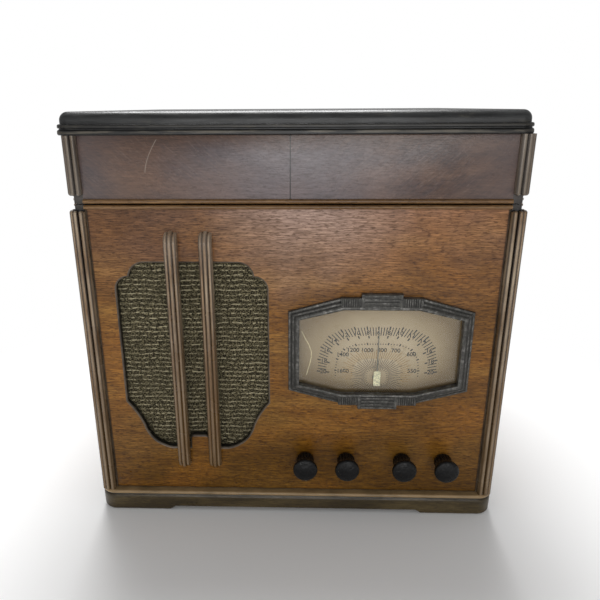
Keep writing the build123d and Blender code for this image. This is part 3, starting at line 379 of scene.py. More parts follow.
def reeds(finish, colour):
    """Painted shade: black grooves and dark sides. Painted highlight: greyed patches on the crowns."""
    depth = finish.grime_and_shade(0.0032)
    # Painted highlight: pale grey patches on the reeds' crowns.
    wear_and_sheen = finish.noise(finish.scaled(finish.at, (90.0, 90.0, 16.0)), 1.0, 3, 0.6)
    crown = finish.spread(wear_and_sheen, 0.36, 0.62, 0.10, 0.75)
    crown = finish.math("MULTIPLY", finish.spread(depth, 0.93, 0.99), crown)
    colour = finish.mix(crown, colour, (0.430, 0.345, 0.245))
    # Painted shade: the reeds' sloping sides are darkened.
    across, out, _ = finish.axes(finish.node("NewGeometry").outputs["Normal"])
    flank_shade = finish.math("MINIMUM", finish.math("ABSOLUTE", across), finish.math("ABSOLUTE", out))
    colour = finish.mix(finish.spread(flank_shade, 0.26, 0.56, 0.0, 0.85), colour, (0.024, 0.013, 0.005))
    # Painted shade: the grooves go black.
    return finish.mix(finish.spread(depth, 0.66, 0.93, 1.0, 0.0), colour, (0.006, 0.004, 0.002))


def bar_tint(finish, colour):
    """Darker towards the foot, and paler at the top, where a reflection is painted."""
    _, _, z = finish.axes()
    colour = reeds(finish, colour)
    colour = finish.mix(finish.spread(z, 0.12, 0.27, 0.60, 0.0), colour, (0.105, 0.052, 0.010))
    # Painted reflection: pale grey over the top of the bars.
    colour = finish.mix(finish.spread(z, 0.270, 0.312, 0.0, 0.30), colour, (0.330, 0.270, 0.220))
    return scuffs(finish, colour, (0.42, 0.32, 0.20), 60.0, 0.5)


def post_tint(finish, colour):
    """Reeds with black stain on the necks and at the reeds' ends. The lid's posts are greyer."""
    _, _, z = finish.axes()
    colour = reeds(finish, colour)
    seam = finish.math("ABSOLUTE", finish.math("SUBTRACT", z, SEAM_Z))
    colour = finish.mix(finish.spread(seam, 0.0066, 0.0082, 0.93, 0.0), colour, (0.016, 0.016, 0.017))
    wear_and_sheen = finish.noise(finish.scaled(finish.at, (60.0, 60.0, 14.0)), 1.0, 3, 0.6)
    colour = finish.mix(finish.spread(z, 0.08, 0.26, 0.55, 0.0), colour, (0.100, 0.055, 0.016))
    smoke = finish.ramp(wear_and_sheen, (0.35, (0.050, 0.042, 0.036)), (0.68, (0.130, 0.115, 0.102)))
    colour = finish.mix(finish.spread(z, 0.342, 0.346, 0.0, 0.65), colour, smoke)
    return scuffs(finish, colour, (0.42, 0.32, 0.20), 60.0, 0.6)


def plinth_tint(finish, colour):
    """Lighter bead along the top of the base moulding, worn and with a painted highlight, over a quirk blackened
    as painted shade.
    """
    _, _, z = finish.axes()
    wear_and_sheen = finish.noise(finish.scaled(finish.at, (40.0, 40.0, 200.0)), 1.0, 3, 0.6)
    # Wear, and a painted highlight, on the bead.
    bead = finish.math("MULTIPLY", finish.spread(z, 0.0212, 0.0222), finish.spread(wear_and_sheen, 0.30, 0.60, 0.5, 1.0))
    colour = finish.mix(bead, colour, (0.300, 0.200, 0.098))
    # Painted shade: the quirk under the bead goes black.
    quirk = finish.math("ABSOLUTE", finish.math("SUBTRACT", z, 0.0203))
    colour = finish.mix(finish.spread(quirk, 0.0004, 0.0010, 0.9, 0.0), colour, (0.006, 0.005, 0.003))
    return scuffs(finish, colour, (0.26, 0.20, 0.12), 48.0, 0.5)


def ebony(name, wear_and_highlight=0.5, tint=None):
    """Black-brown lacquer over moulded wood, worn through to brown along its edges, which is partly a painted
    highlight; painted shade blackens its grooves.
    """
    finish = Finish(name, specular=0.35)
    worn = finish.noise(finish.scaled(finish.at, (40.0, 90.0, 240.0)), 1.0, 4, 0.7)
    streak = finish.noise(finish.scaled(finish.at, (14.0, 300.0, 500.0)), 1.0, 3, 0.65)
    colour = finish.ramp(streak, (0.35, (0.002, 0.002, 0.002)), (0.7, (0.011, 0.011, 0.011)))
    # Edges that do not face up are worn to brown, in part a painted highlight.
    upward = finish.axes(finish.node("NewGeometry").outputs["Normal"])[2]
    edges = finish.spread(upward, 0.90, 0.98, wear_and_highlight, wear_and_highlight * 0.12)
    edges = finish.math("MULTIPLY", finish.spread(worn, 0.56, 0.70), edges)
    colour = finish.mix(edges, colour, (0.105, 0.094, 0.072))
    if tint:
        colour = tint(finish, colour)
    # Painted shade: grooves and corners go nearly black.
    colour = finish.mix(finish.spread(finish.grime_and_shade(0.003), 0.4, 0.9, 0.85, 0.0), colour, (0.002, 0.002, 0.002))
    finish.base(colour)
    finish.value("Roughness", finish.spread(worn, 0.3, 0.7, 0.24, 0.44))
    finish.bump(streak, 0.0003, 0.5)
    return finish.material


def rim_tint(finish, colour):
    """Brown patches on the rims of the front's openings: wear, and a painted highlight."""
    # Wear, and a painted highlight, in brown patches.
    wear_and_sheen = finish.spread(finish.noise(finish.at, 60.0, 3), 0.36, 0.60, 0.35, 0.95)
    return finish.mix(wear_and_sheen, colour, (0.125, 0.098, 0.072))


def board_tint(finish, colour):
    """The lid's edge: greyer fascia, worn pale lines on the nose and the lower bead that are partly a painted
    highlight, and painted shade in black along the underside.
    """
    _, _, z = finish.axes()
    wear_and_sheen = finish.noise(finish.scaled(finish.at, (30.0, 30.0, 300.0)), 1.0, 3, 0.6)
    side = finish.spread(finish.axes(finish.node("NewGeometry").outputs["Normal"])[2], 0.80, 0.97, 1.0, 0.15)
    fascia = finish.math("MULTIPLY", finish.spread(z, 0.4132, 0.4138), finish.spread(wear_and_sheen, 0.35, 0.60, 0.2, 0.8))
    colour = finish.mix(finish.math("MULTIPLY", fascia, side), colour, (0.034, 0.035, 0.035))
    # Wear, and a painted highlight, along the crowns of the nose and the lower bead.
    for crown, half, amount in ((0.4062, 0.0008, 0.75), (0.4114, 0.0006, 0.2)):
        line = finish.math("ABSOLUTE", finish.math("SUBTRACT", z, crown))
        line = finish.spread(line, half, half * 2, 1.0, 0.0)
        line = finish.math("MULTIPLY", line, finish.spread(wear_and_sheen, 0.44, 0.60, 0.05, amount))
        colour = finish.mix(line, colour, (0.120, 0.105, 0.080))
    # Painted shade: black along the underside of the board.
    under = finish.spread(z, 0.4036, 0.4046, 0.95, 0.0)
    return finish.mix(under, colour, (0.003, 0.003, 0.003))


def metal(name, colour, roughness, metallic, tarnish, scale=60.0, grain=0.0, dirt_and_shade=0.5, wear_and_highlight=None):
    """Metal or metallic paint with blotched tarnish, fine scratches, and corners darkened by dust and painted
    shade.
    wear_and_highlight is the colour that shows in patches along its ridges: wear, and a painted highlight."""
    finish = Finish(name, metallic=metallic)
    blotch = finish.noise(finish.at, scale, 4, 0.65)
    shade = finish.mix(finish.spread(blotch, 0.35, 0.72, 0.0, 0.75), colour, tarnish)
    depth = finish.grime_and_shade(0.003)
    # Wear, and a painted highlight: pale patches along the ridges.
    if wear_and_highlight:
        worn = finish.spread(finish.noise(finish.at, 210.0, 4, 0.7), 0.50, 0.64)
        worn = finish.math("MULTIPLY", finish.spread(depth, 0.86, 1.0), worn)
        shade = finish.mix(worn, shade, wear_and_highlight)
    # Dust, and painted shade: the corners darken.
    shade = finish.mix(finish.spread(depth, 0.3, 0.85, dirt_and_shade, 0.0), shade, tuple(c * 0.1 for c in colour))
    finish.base(shade)
    scratch = finish.noise(finish.scaled(finish.at, (900.0, 60.0, 60.0)), 1.0, 3, 0.6)
    uneven = finish.mix(0.5, blotch, scratch)
    finish.value("Roughness", finish.spread(uneven, 0.3, 0.7, roughness - 0.08, roughness + 0.16))
    finish.bump(scratch, 0.00005, 0.3)
    if grain:
        finish.bump(finish.noise(finish.at, grain, 2, 0.6), 0.0004, 0.7)
    return finish.material


def plastic(name, colour, roughness=0.22, dust=(0.10, 0.085, 0.07)):
    """Phenolic moulding: deep gloss that handling has dulled, with dust in its flutes."""
    finish = Finish(name, specular=0.22)
    swirl = finish.noise(finish.at, 160.0, 3, 0.6, 1.5)
    shade = finish.ramp(swirl, (0.35, colour), (0.75, tuple(c * 1.9 for c in colour)))
    shade = finish.mix(finish.spread(finish.grime_and_shade(0.003), 0.35, 0.8, 0.35, 0.0), shade, dust)
    finish.base(shade)
    handled = finish.noise(finish.at, 240.0, 4, 0.7)
    finish.value("Roughness", finish.spread(handled, 0.3, 0.7, roughness, roughness + 0.2))
    finish.bump(swirl, 0.0010, 0.8)
    return finish.material


def woven(name):
    """Grille cloth: dark warp with tan and gold specks, and a broken bright slub every few millimetres."""
    finish = Finish(name, roughness=0.85, specular=0.2)
    x, _, z = finish.axes()
    weft = finish.math("SINE", finish.math("MULTIPLY", z, 2 * math.pi / 0.00100))
    warp = finish.math("SINE", finish.math("MULTIPLY", x, 2 * math.pi / 0.00125))
    over = finish.spread(finish.math("MULTIPLY", weft, warp), -0.4, 0.5)
    speck = finish.noise(finish.scaled(finish.at, (600.0, 1.0, 860.0)), 1.0, 2, 0.8)
    knots = finish.noise(finish.scaled(finish.at, (260.0, 1.0, 620.0), move=(3.0, 0.0, 5.0)), 1.0, 2, 0.7)
    drift = finish.noise(finish.scaled(finish.at, (60.0, 1.0, 34.0)), 1.0, 2)
    wander = finish.math("MULTIPLY_ADD", drift, 0.0040, z)
    band = finish.math("SINE", finish.math("MULTIPLY", wander, 2 * math.pi / 0.0050))
    gold = finish.math("MULTIPLY", finish.spread(speck, 0.49, 0.58), finish.spread(over, 0.0, 1.0, 0.6, 1.0))
    slub = finish.math("MULTIPLY", finish.spread(band, 0.70, 0.95), finish.spread(knots, 0.47, 0.56))
    gap = finish.spread(band, -0.95, -0.55, 0.6, 0.0)
    colour = finish.mix(gold, (0.012, 0.010, 0.005), (0.270, 0.230, 0.130))
    colour = finish.mix(slub, colour, (0.520, 0.460, 0.300))
    gap = finish.math("MULTIPLY", gap, finish.spread(speck, 0.56, 0.66, 1.0, 0.3))
    colour = finish.mix(gap, colour, (0.010, 0.009, 0.006))
    cloud = finish.spread(finish.noise(finish.at, 30.0, 3), 0.38, 0.66, 0.0, 0.3)
    finish.base(finish.mix(cloud, colour, (0.05, 0.042, 0.022)))
    finish.bump(finish.mix(0.4, over, slub), 0.0003, 0.8)
    return finish.material


def dial_paper(name, middle_x, middle_z):
    """Cream lacquer on metal, foxed, and browned towards its left end. Towards its rim it browns with age and
    darkens with a painted shadow of the frame.
    """
    finish = Finish(name, roughness=0.5, specular=0.3)
    x, _, z = finish.axes()
    dx = finish.math("DIVIDE", finish.math("SUBTRACT", x, middle_x), 0.086)
    dz = finish.math("DIVIDE", finish.math("SUBTRACT", z, middle_z), 0.050)
    reach = finish.math("SQRT", finish.math("MULTIPLY_ADD", dx, dx, finish.math("MULTIPLY", dz, dz)))
    cloud = finish.noise(finish.at, 22.0, 4, 0.6)
    # Age, and a painted shadow of the frame: browner towards the rim.
    rim = finish.math("MULTIPLY_ADD", cloud, 0.35, finish.math("SUBTRACT", reach, 0.17))
    stops = (0.35, (0.47, 0.355, 0.230)), (0.75, (0.35, 0.250, 0.140)), (1.0, (0.20, 0.125, 0.05))
    colour = finish.ramp(rim, *stops)
    stain = finish.noise(finish.at, 120.0, 3, 0.65)
    colour = finish.mix(finish.spread(stain, 0.58, 0.78, 0.0, 0.45), colour, (0.24, 0.16, 0.075))
    colour = finish.mix(finish.spread(dx, -0.95, -0.25, 0.40, 0.0), colour, (0.235, 0.160, 0.085))
    finish.base(colour)
    finish.value("Roughness", finish.spread(stain, 0.3, 0.7, 0.4, 0.6))
    return finish.material


def ink(name, colour):
    finish = Finish(name, roughness=0.6, specular=0.2)
    worn = tuple(c * 2.2 + 0.01 for c in colour)
    finish.base(finish.ramp(finish.noise(finish.at, 900.0, 2, 0.6), (0.4, colour), (0.75, worn)))
    return finish.material


def clear_glass(name, tint=(0.97, 0.99, 0.98)):
    """Glass with faint smears. It lets lamps shine through onto what is behind it."""
    finish = Finish(name, roughness=0.0, specular=0.5)
    finish.value("Transmission Weight", 1.0)
    finish.value("IOR", 1.45)
    smear = finish.noise(finish.scaled(finish.at, (30.0, 30.0, 60.0)), 1.0, 4, 0.6)
    finish.base(finish.mix(finish.spread(smear, 0.5, 0.8, 0.0, 0.25), tint, (0.88, 0.88, 0.84)))
    clear = finish.node("BsdfTransparent", {"Color": tint})
    path = finish.node("LightPath")
    lit = finish.math("MAXIMUM", path.outputs["Is Shadow Ray"], path.outputs["Is Diffuse Ray"])
    mixed = finish.node("MixShader", {0: lit, 1: finish.shader.outputs[0], 2: clear.outputs[0]})
    finish.tree.links.new(mixed.outputs[0], finish.tree.nodes["Material Output"].inputs["Surface"])
    return finish.material


def fibre(name):
    finish = Finish(name, roughness=0.85, specular=0.2)
    mat = finish.noise(finish.scaled(finish.at, (340.0, 340.0, 340.0)), 1.0, 4, 0.7, 0.6)
    blotch = finish.noise(finish.at, 14.0, 3)
    colour = finish.ramp(mat, (0.3, (0.075, 0.042, 0.022)), (0.7, (0.17, 0.105, 0.058)))
    finish.base(finish.mix(finish.spread(blotch, 0.4, 0.7, 0.0, 0.4), colour, (0.06, 0.036, 0.02)))
    finish.bump(mat, 0.0003, 0.6)
    return finish.material


def felt(name, colour):
    finish = Finish(name, roughness=0.95, specular=0.15)
    finish.value("Sheen Weight", 0.4)
    nap = finish.noise(finish.at, 1400.0, 3, 0.7)
    brushed = finish.noise(finish.at, 26.0, 3)
    shade = finish.ramp(nap, (0.3, tuple(c * 0.5 for c in colour)), (0.7, tuple(c * 1.5 for c in colour)))
    faded = tuple(c * 0.5 + 0.02 for c in colour)
    finish.base(finish.mix(finish.spread(brushed, 0.4, 0.7, 0.0, 0.3), shade, faded))
    finish.bump(nap, 0.0005, 0.8)
    return finish.material


def pulp(name):
    finish = Finish(name, roughness=0.9, specular=0.15)
    mat = finish.noise(finish.at, 600.0, 4, 0.7)
    finish.base(finish.ramp(mat, (0.3, (0.030, 0.024, 0.020)), (0.7, (0.085, 0.068, 0.055))))
    finish.bump(mat, 0.0002, 0.7)
    return finish.material


# ---------------------------------------------------------------- mesh helpers
def add_piece(name, mesh, body, material, slot, *replaced):
    """Links a finished mesh as a piece that rides on a body and stands for the nodes named."""
    piece = bpy.data.objects.new(name, mesh)
    scene.collection.objects.link(piece)
    materials = material if isinstance(material, (list, tuple)) else [material]
    for entry in materials:
        if len(mesh.materials) < len(materials):
            mesh.materials.append(entry)
    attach(piece, body)
    if replaced:
        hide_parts(*replaced)
    return piece


def smooth(mesh, angle=35):
    mesh.polygons.foreach_set("use_smooth", [True] * len(mesh.polygons))
    mesh.set_sharp_from_angle(angle=math.radians(angle))
    mesh.update()
    return mesh


def mesh_from(points, faces, angle=35):
    mesh = bpy.data.meshes.new("shape")
    mesh.from_pydata([tuple(p) for p in points], [], faces)
    mesh.validate()
    return smooth(mesh, angle)


def grid_mesh(rows, close_rows=False, cap=False, angle=35):
    """A surface through rows of points. Rows may close on themselves, and cap fills both ends."""
    count, width = len(rows), len(rows[0])
    points = [p for row in rows for p in row]
    faces = []
    for i in range(count - 1):
        for j in range(width if close_rows else width - 1):
            here, beside = i * width + j, i * width + (j + 1) % width
            faces.append((here, beside, beside + width, here + width))
    if cap:
        faces.append(tuple(reversed(range(width))))
        faces.append(tuple(range((count - 1) * width, count * width)))
    return mesh_from(points, faces, angle)


def joined(meshes):
    """Several meshes as one. Each keeps its own materials."""
    points, faces, owners, materials = [], [], [], []
    for mesh in meshes:
        start = len(points)
        points += [tuple(v.co) for v in mesh.vertices]
        for material in mesh.materials:
            if material not in materials:
                materials.append(material)
        for face in mesh.polygons:
            faces.append([start + v for v in face.vertices])
            owners.append(materials.index(mesh.materials[face.material_index]))
    result = mesh_from(points, faces)
    for m in materials:
        result.materials.append(m)
    result.polygons.foreach_set("material_index", owners)
    return result


def flat_shape(loops, front, thickness, bevel, steps=2):
    """An upright flat shape with round edges, its front face at y = front. loops are (x, z) outlines:
    the first is the outside, and the others are holes."""
    curve = bpy.data.curves.new("shape", "CURVE")
    curve.dimensions, curve.fill_mode = "2D", "BOTH"
    curve.extrude = thickness / 2 - bevel
    curve.bevel_depth, curve.bevel_resolution, curve.offset = bevel, steps, -bevel
    for loop in loops:
        spline = curve.splines.new("POLY")
        spline.points.add(len(loop) - 1)
        for point, (x, z) in zip(spline.points, loop):
            point.co = (x, z, 0, 1)
        spline.use_cyclic_u = True
    holder = bpy.data.objects.new("shape", curve)
    scene.collection.objects.link(holder)
    bpy.context.view_layer.update()
    mesh = bpy.data.meshes.new_from_object(holder.evaluated_get(bpy.context.evaluated_depsgraph_get()))
    bpy.data.objects.remove(holder)
    stand = Matrix.Rotation(math.pi / 2, 4, "X")
    mesh.transform(Matrix.Translation((0, front + thickness / 2, 0)) @ stand)
    return smooth(mesh)


def turned(profile, place, steps=96, radius_at=None):
    """A solid of revolution about a line from place to the front. profile is (radius, distance along the
    line); radius_at may change the radius by angle, for flutes."""
    rows = []
    for radius, reach in profile:
        row = []
        for step in range(steps):
            turn = 2 * math.pi * step / steps
            r = radius_at(radius, reach, turn) if radius_at else radius
            row.append((place[0] + r * math.cos(turn), place[1] - reach, place[2] + r * math.sin(turn)))
        rows.append(row)
    return grid_mesh(rows, close_rows=True, cap=True, angle=32)


def softened(node, width, material):
    """The node's own board with its sharp edges rounded by width."""
    source = nodes[node]
    mesh = source.data.copy()
    mesh.polygons.foreach_set("use_smooth", [True] * len(mesh.polygons))
    holder = bpy.data.objects.new("soft", mesh)
    scene.collection.objects.link(holder)
    weld = holder.modifiers.new("weld", "WELD")
    weld.merge_threshold = 0.00001
    flatten = holder.modifiers.new("flatten", "DECIMATE")
    flatten.decimate_type, flatten.angle_limit = "DISSOLVE", math.radians(0.5)
    bevel = holder.modifiers.new("bevel", "BEVEL")
    bevel.width, bevel.segments, bevel.angle_limit = width, 2, math.radians(40)
    bevel.limit_method, bevel.harden_normals = "ANGLE", True
    bpy.context.view_layer.update()
    result = bpy.data.meshes.new_from_object(holder.evaluated_get(bpy.context.evaluated_depsgraph_get()))
    bpy.data.objects.remove(holder)
    result.materials.clear()
    body = source["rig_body"]
    slot = next(s["material_slot"] for s in frame["record"]["subparts"] if s["node"] == node)
    return add_piece(node + "_finished", result, body, material, slot, node)


def arc(first, through, last, steps):
    """Points along the arc through three points, without the last one."""
    (ax, ay), (bx, by), (cx, cy) = first, through, last
    d = 2 * (ax * (by - cy) + bx * (cy - ay) + cx * (ay - by))
    a2, b2, c2 = ax * ax + ay * ay, bx * bx + by * by, cx * cx + cy * cy
    ux = (a2 * (by - cy) + b2 * (cy - ay) + c2 * (ay - by)) / d
    uy = (a2 * (cx - bx) + b2 * (ax - cx) + c2 * (bx - ax)) / d
    radius = math.hypot(ax - ux, ay - uy)
    start, via, end = (math.atan2(y - uy, x - ux) for x, y in (first, through, last))
    full = 2 * math.pi
    sweep, part = (end - start) % full, (via - start) % full
    if part > sweep:
        sweep -= full
    turns = [start + sweep * k / steps for k in range(steps)]
    return [(ux + radius * math.cos(t), uy + radius * math.sin(t)) for t in turns]


def both_sides(half, x, z=0.0):
    """A closed outline about x from its right half, which starts and ends on the middle line."""
    right = [(x + a * MM, z + b * MM) for a, b in half]
    left = [(x - a * MM, z + b * MM) for a, b in reversed(half) if a > 1e-6]
    return right + left


# ---------------------------------------------------------------- finishes
walnut_front = wood("walnut_front", 0, **WALNUT, gloss=0.28, specular=0.25, streak=0.75, pores=0.8, dirt_and_shade=0,
                    ground=front_ground, tint=front_tint)
walnut_lid = wood("walnut_lid", 0, (0.060, 0.028, 0.017), (0.100, 0.050, 0.030), (0.150, 0.080, 0.050),
                  gloss=0.26, specular=0.5, streak=0.35, pores=0.4, dirt_and_shade=0, place=mirrored_place,
                  ground=lid_ground, tint=lid_tint)
SIDE_WALNUT = {"dark": (0.150, 0.066, 0.014), "mid": (0.195, 0.088, 0.020), "light": (0.250, 0.122, 0.030)}
walnut_side = wood("walnut_side", 1, **SIDE_WALNUT, gloss=0.32, specular=0.35, dirt_and_shade=0,
                   tint=lambda f, c: scuffs(f, c, (0.35, 0.24, 0.13), 22.0, 0.4))
walnut_rail = wood("walnut_rail", 0, **SIDE_WALNUT, gloss=0.34, specular=0.35, dirt_and_shade=0)
post_wood = wood("post_wood", 2, **MOULDING, dirt_and_shade=0, gloss=0.26, tint=post_tint)
bar_wood = wood("bar_wood", 2, **MOULDING, dirt_and_shade=0, gloss=0.26, tint=bar_tint)
bead_wood = wood("bead_wood", 0, **MOULDING, dirt_and_shade=0.5, dirt_and_shade_reach=0.002, gloss=0.28)
plinth_wood = wood("plinth_wood", 0, (0.026, 0.017, 0.004), (0.050, 0.034, 0.011), (0.092, 0.066, 0.026),
                   dirt_and_shade=0.8, gloss=0.34, tint=plinth_tint)
deck_wood = wood("deck_wood", 0, **SIDE_WALNUT, gloss=0.30, dirt_and_shade=0.4)
bare_wood = wood("bare_wood", 0, (0.28, 0.16, 0.075), (0.38, 0.24, 0.125), (0.48, 0.33, 0.19), gloss=0.7,
                 specular=0.2, dirt_and_shade=0.5)
black_edge = ebony("ebonised_wood", 0.5, board_tint)
stain = ebony("stained_edge", 0.9)
rim_stain = ebony("rim_wear_and_highlight", 0.9, rim_tint)
bronze = metal("dark_bronze", (0.084, 0.081, 0.073), 0.38, 0.6, (0.010, 0.011, 0.012), 360.0,
               dirt_and_shade=0.98, wear_and_highlight=(0.165, 0.160, 0.148))
bakelite = plastic("bakelite", (0.0022, 0.0022, 0.0024), 0.24, (0.03, 0.028, 0.026))
brass = metal("brass_plate", (0.62, 0.44, 0.19), 0.30, 1.0, (0.28, 0.19, 0.09))
steel = metal("plated_steel", (0.48, 0.48, 0.46), 0.36, 1.0, (0.30, 0.27, 0.22))
nickel = metal("nickel_plate", (0.66, 0.64, 0.60), 0.18, 1.0, (0.46, 0.43, 0.38))
can_metal = metal("spun_aluminium", (0.62, 0.62, 0.63), 0.34, 1.0, (0.42, 0.42, 0.42))
iron = metal("black_enamel", (0.028, 0.028, 0.030), 0.42, 0.0, (0.05, 0.047, 0.042))
crackle = metal("crackle_enamel", (0.085, 0.050, 0.030), 0.40, 0.0, (0.05, 0.03, 0.02), grain=700.0)
cloth = woven("grille_weave")
dial_black = ink("dial_ink", (0.008, 0.006, 0.005))
dial_gold = ink("dial_gold", (0.24, 0.14, 0.05))
glass = clear_glass("clear_glass")
tube_glass = clear_glass("tube_glass", (0.90, 0.93, 0.94))
back_fibre = fibre("fibre_board")
flock = felt("flock", (0.075, 0.012, 0.014))
cone_pulp = pulp("cone_pulp")
rubber = plastic("rubber", (0.018, 0.018, 0.018), 0.6)
linen = felt("linen", (0.30, 0.22, 0.12))

add_camera()
add_stage()


# ---------------------------------------------------------------- cabinet
GRILLE_X = middle("grille_bars").x


def grille_outline():
    """The opening in front of the loudspeaker, as in the frame's front panel."""
    half = [(0, 93.0), (5.5, 93.0)]
    half += arc((5.5, 93.0), (9.04, 91.54), (10.5, 88.0), 6)[1:]
    half += [(10.5, 88.0), (10.5, 78.0)]
    half += arc((30.0, 78.0), (48.5, 87.5), (58.0, 105.0), 12)
    half += arc((58.0, 105.0), (65.5, 120.5), (74.5, 133.0), 8)
    half += [(74.5, 133.0)]
    half += arc((74.5, 257.0), (70.8, 265.9), (61.0, 269.6), 8)
    half += arc((61.0, 269.6), (56.3, 279.7), (46.0, 284.0), 8)
    half += [(46.0, 284.0), (0, 284.0)]
    return both_sides(half, GRILLE_X)


def octagon(knee, corner, x, z):
    """The dial's long octagon about (x, z), from its upper knee and its corner."""
    half = [(0, -knee[1]), (knee[0], -knee[1]), (corner[0], -corner[1]), corner, knee, (0, knee[1])]
    return both_sides(half, x, z)


DIAL = middle("dial_glass")
HUB = middle("pointer")
HUB_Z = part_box("pointer")[0].z + 4.5 * MM


def oblong(left, right, low, high):
    """A rectangle's (x, z) outline."""
    return [(left, low), (right, low), (right, high), (left, high)]


def circle(x, z, radius):
    turns = [2 * math.pi * k / 32 for k in range(32)]
    return [(x + radius * math.cos(t), z + radius * math.sin(t)) for t in turns]


def front_panel():
    """Veneered panel. Its edges and the walls of its openings are stained black."""
    outside = oblong(LEFT, RIGHT, panel_low.z, panel_high.z)
    loops = [outside, grille_outline(), octagon((37.5, 49.0), (83.5, 36.7), DIAL.x, DIAL.z)]
    for knob in ("volume", "tone", "tuning", "band"):
        at = middle(knob + "_knob")
        loops.append(circle(at.x, at.z, 5 * MM))
    mesh = flat_shape(loops, FRONT, BACK - FRONT, 2.4 * MM, 4)
    add_piece("front_board", mesh, "case", [walnut_front, rim_stain, stain], "veneer", "front_panel")
    for face in mesh.polygons:
        depth = face.center.y - FRONT
        face.material_index = 2 if depth > 1.9 * MM else 1 if depth > 0.1 * MM else 0


front_panel()
for board in ("side_panel_left", "side_panel_right", "lid_side_left", "lid_side_right"):
    softened(board, 0.5 * MM, walnut_side)
softened("lid_front_panel", 0.3 * MM, walnut_lid)
softened("lid_back_rail", 0.5 * MM, walnut_rail)
softened("motor_board", 0.6 * MM, deck_wood)


def finish_nodes(material, *names):
    """Gives the frame's own nodes a material."""
    for name in names:
        for slot in nodes[name].material_slots:
            slot.material = material


finish_nodes(post_wood, "corner_post_left", "corner_post_right", "lid_post_left", "lid_post_right")
finish_nodes(bar_wood, "grille_bars")
finish_nodes(bead_wood, "case_bead", "lid_bead")
finish_nodes(plinth_wood, "plinth")
finish_nodes(black_edge, "lid_top_board")
finish_nodes(bare_wood, "bottom_board", "inner_rails", "speaker_baffle")
finish_nodes(back_fibre, "back_cover")
finish_nodes(rubber, "cord_grommet")
finish_nodes(brass, "hinge_case_leaves", "hinge_lid_leaves", "lid_stay", "stay_guide", "cabinet_screws")
finish_nodes(steel, "control_bodies", "chassis", "volume_shaft", "tone_shaft", "tuning_shaft", "band_shaft")
finish_nodes(can_metal, "if_cans", "gang_frame", "gang_rotor")
finish_nodes(iron, "power_transformer", "speaker_frame", "phono_motor")
finish_nodes(cone_pulp, "speaker_cone")
finish_nodes(tube_glass, "tubes")
finish_nodes(linen, "tuning_drive_cord")
finish_nodes(crackle, "turntable_platter", "tonearm_base", "tonearm", "pickup_head")
finish_nodes(flock, "platter_mat")
finish_nodes(nickel, "spindle", "tonearm_yoke", "deck_fittings", "phono_switch_lever")
finish_nodes(glass, "dial_glass")


# ---------------------------------------------------------------- grille cloth
def grille_cloth():
    """Stretched cloth, a touch slack between its fixings, with uneven threads."""
    low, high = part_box("grille_cloth")
    columns, rows = 120, 380
    points = []
    for i in range(rows + 1):
        z = low.z + (high.z - low.z) * i / rows
        row = []
        for j in range(columns + 1):
            x = low.x + (high.x - low.x) * j / columns
            slack = noise.noise(Vector((x * 14, z * 14, SEED)))
            lump = noise.noise(Vector((x * 400, z * 900, SEED)))
            row.append((x, low.y + 0.35 * MM + 0.2 * MM * slack + 0.08 * MM * lump, z))
        points.append(row)
    mesh = grid_mesh(points, angle=80)
    piece = add_piece("grille_fabric", mesh, "case", cloth, "cloth", "grille_cloth")


grille_cloth()


# ---------------------------------------------------------------- dial
def box_mesh(x, y, z):
    """A plain box from three (low, high) pairs, for small raised or printed marks."""
    points = [(a, b, c) for c in z for b in y for a in x]
    faces = [(0, 2, 3, 1), (4, 5, 7, 6), (0, 1, 5, 4), (2, 6, 7, 3), (0, 4, 6, 2), (1, 3, 7, 5)]
    return mesh_from(points, faces)




def on_bow(reach, turn):
    """The place on a squared bow about the hub that is reach high. turn is in degrees, clockwise from
    straight up. The bows are wider than high, the outer ones less so."""
    stretch = 1.24 - 2.5 * reach
    across, up = math.sin(math.radians(turn)), math.cos(math.radians(turn))
    radius = reach / (abs(across / stretch) ** 3.4 + abs(up) ** 3.4) ** (1 / 3.4)
    return radius * across, radius * up


def mark(inner, outer, width, turn, y, height=0.05 * MM):
    """A printed stroke that points at the hub, between two bows."""
    (ax, az), (bx, bz) = on_bow(inner, turn), on_bow(outer, turn)
    length = math.hypot(bx - ax, bz - az)
    mesh = box_mesh((-width / 2, width / 2), (y - height, y), (-length / 2, length / 2))
    lean = math.atan2(bx - ax, bz - az)
    place = Matrix.Translation((HUB.x + (ax + bx) / 2, 0, HUB_Z + (az + bz) / 2))
    mesh.transform(place @ Matrix.Rotation(lean, 4, "Y"))
    return mesh


def numeral(text, x, z, y, size):
    curve = bpy.data.curves.new("numeral", "FONT")
    curve.body, curve.size, curve.align_x, curve.align_y = text, size, "CENTER", "CENTER"
    curve.extrude, curve.resolution_u, curve.offset = 0.025 * MM, 3, 0.12 * MM
    holder = bpy.data.objects.new("numeral", curve)
    scene.collection.objects.link(holder)
    bpy.context.view_layer.update()
    mesh = bpy.data.meshes.new_from_object(holder.evaluated_get(bpy.context.evaluated_depsgraph_get()))
    bpy.data.objects.remove(holder)
    mesh.transform(Matrix.Translation((x, y, z)) @ Matrix.Rotation(math.pi / 2, 4, "X"))
    return mesh


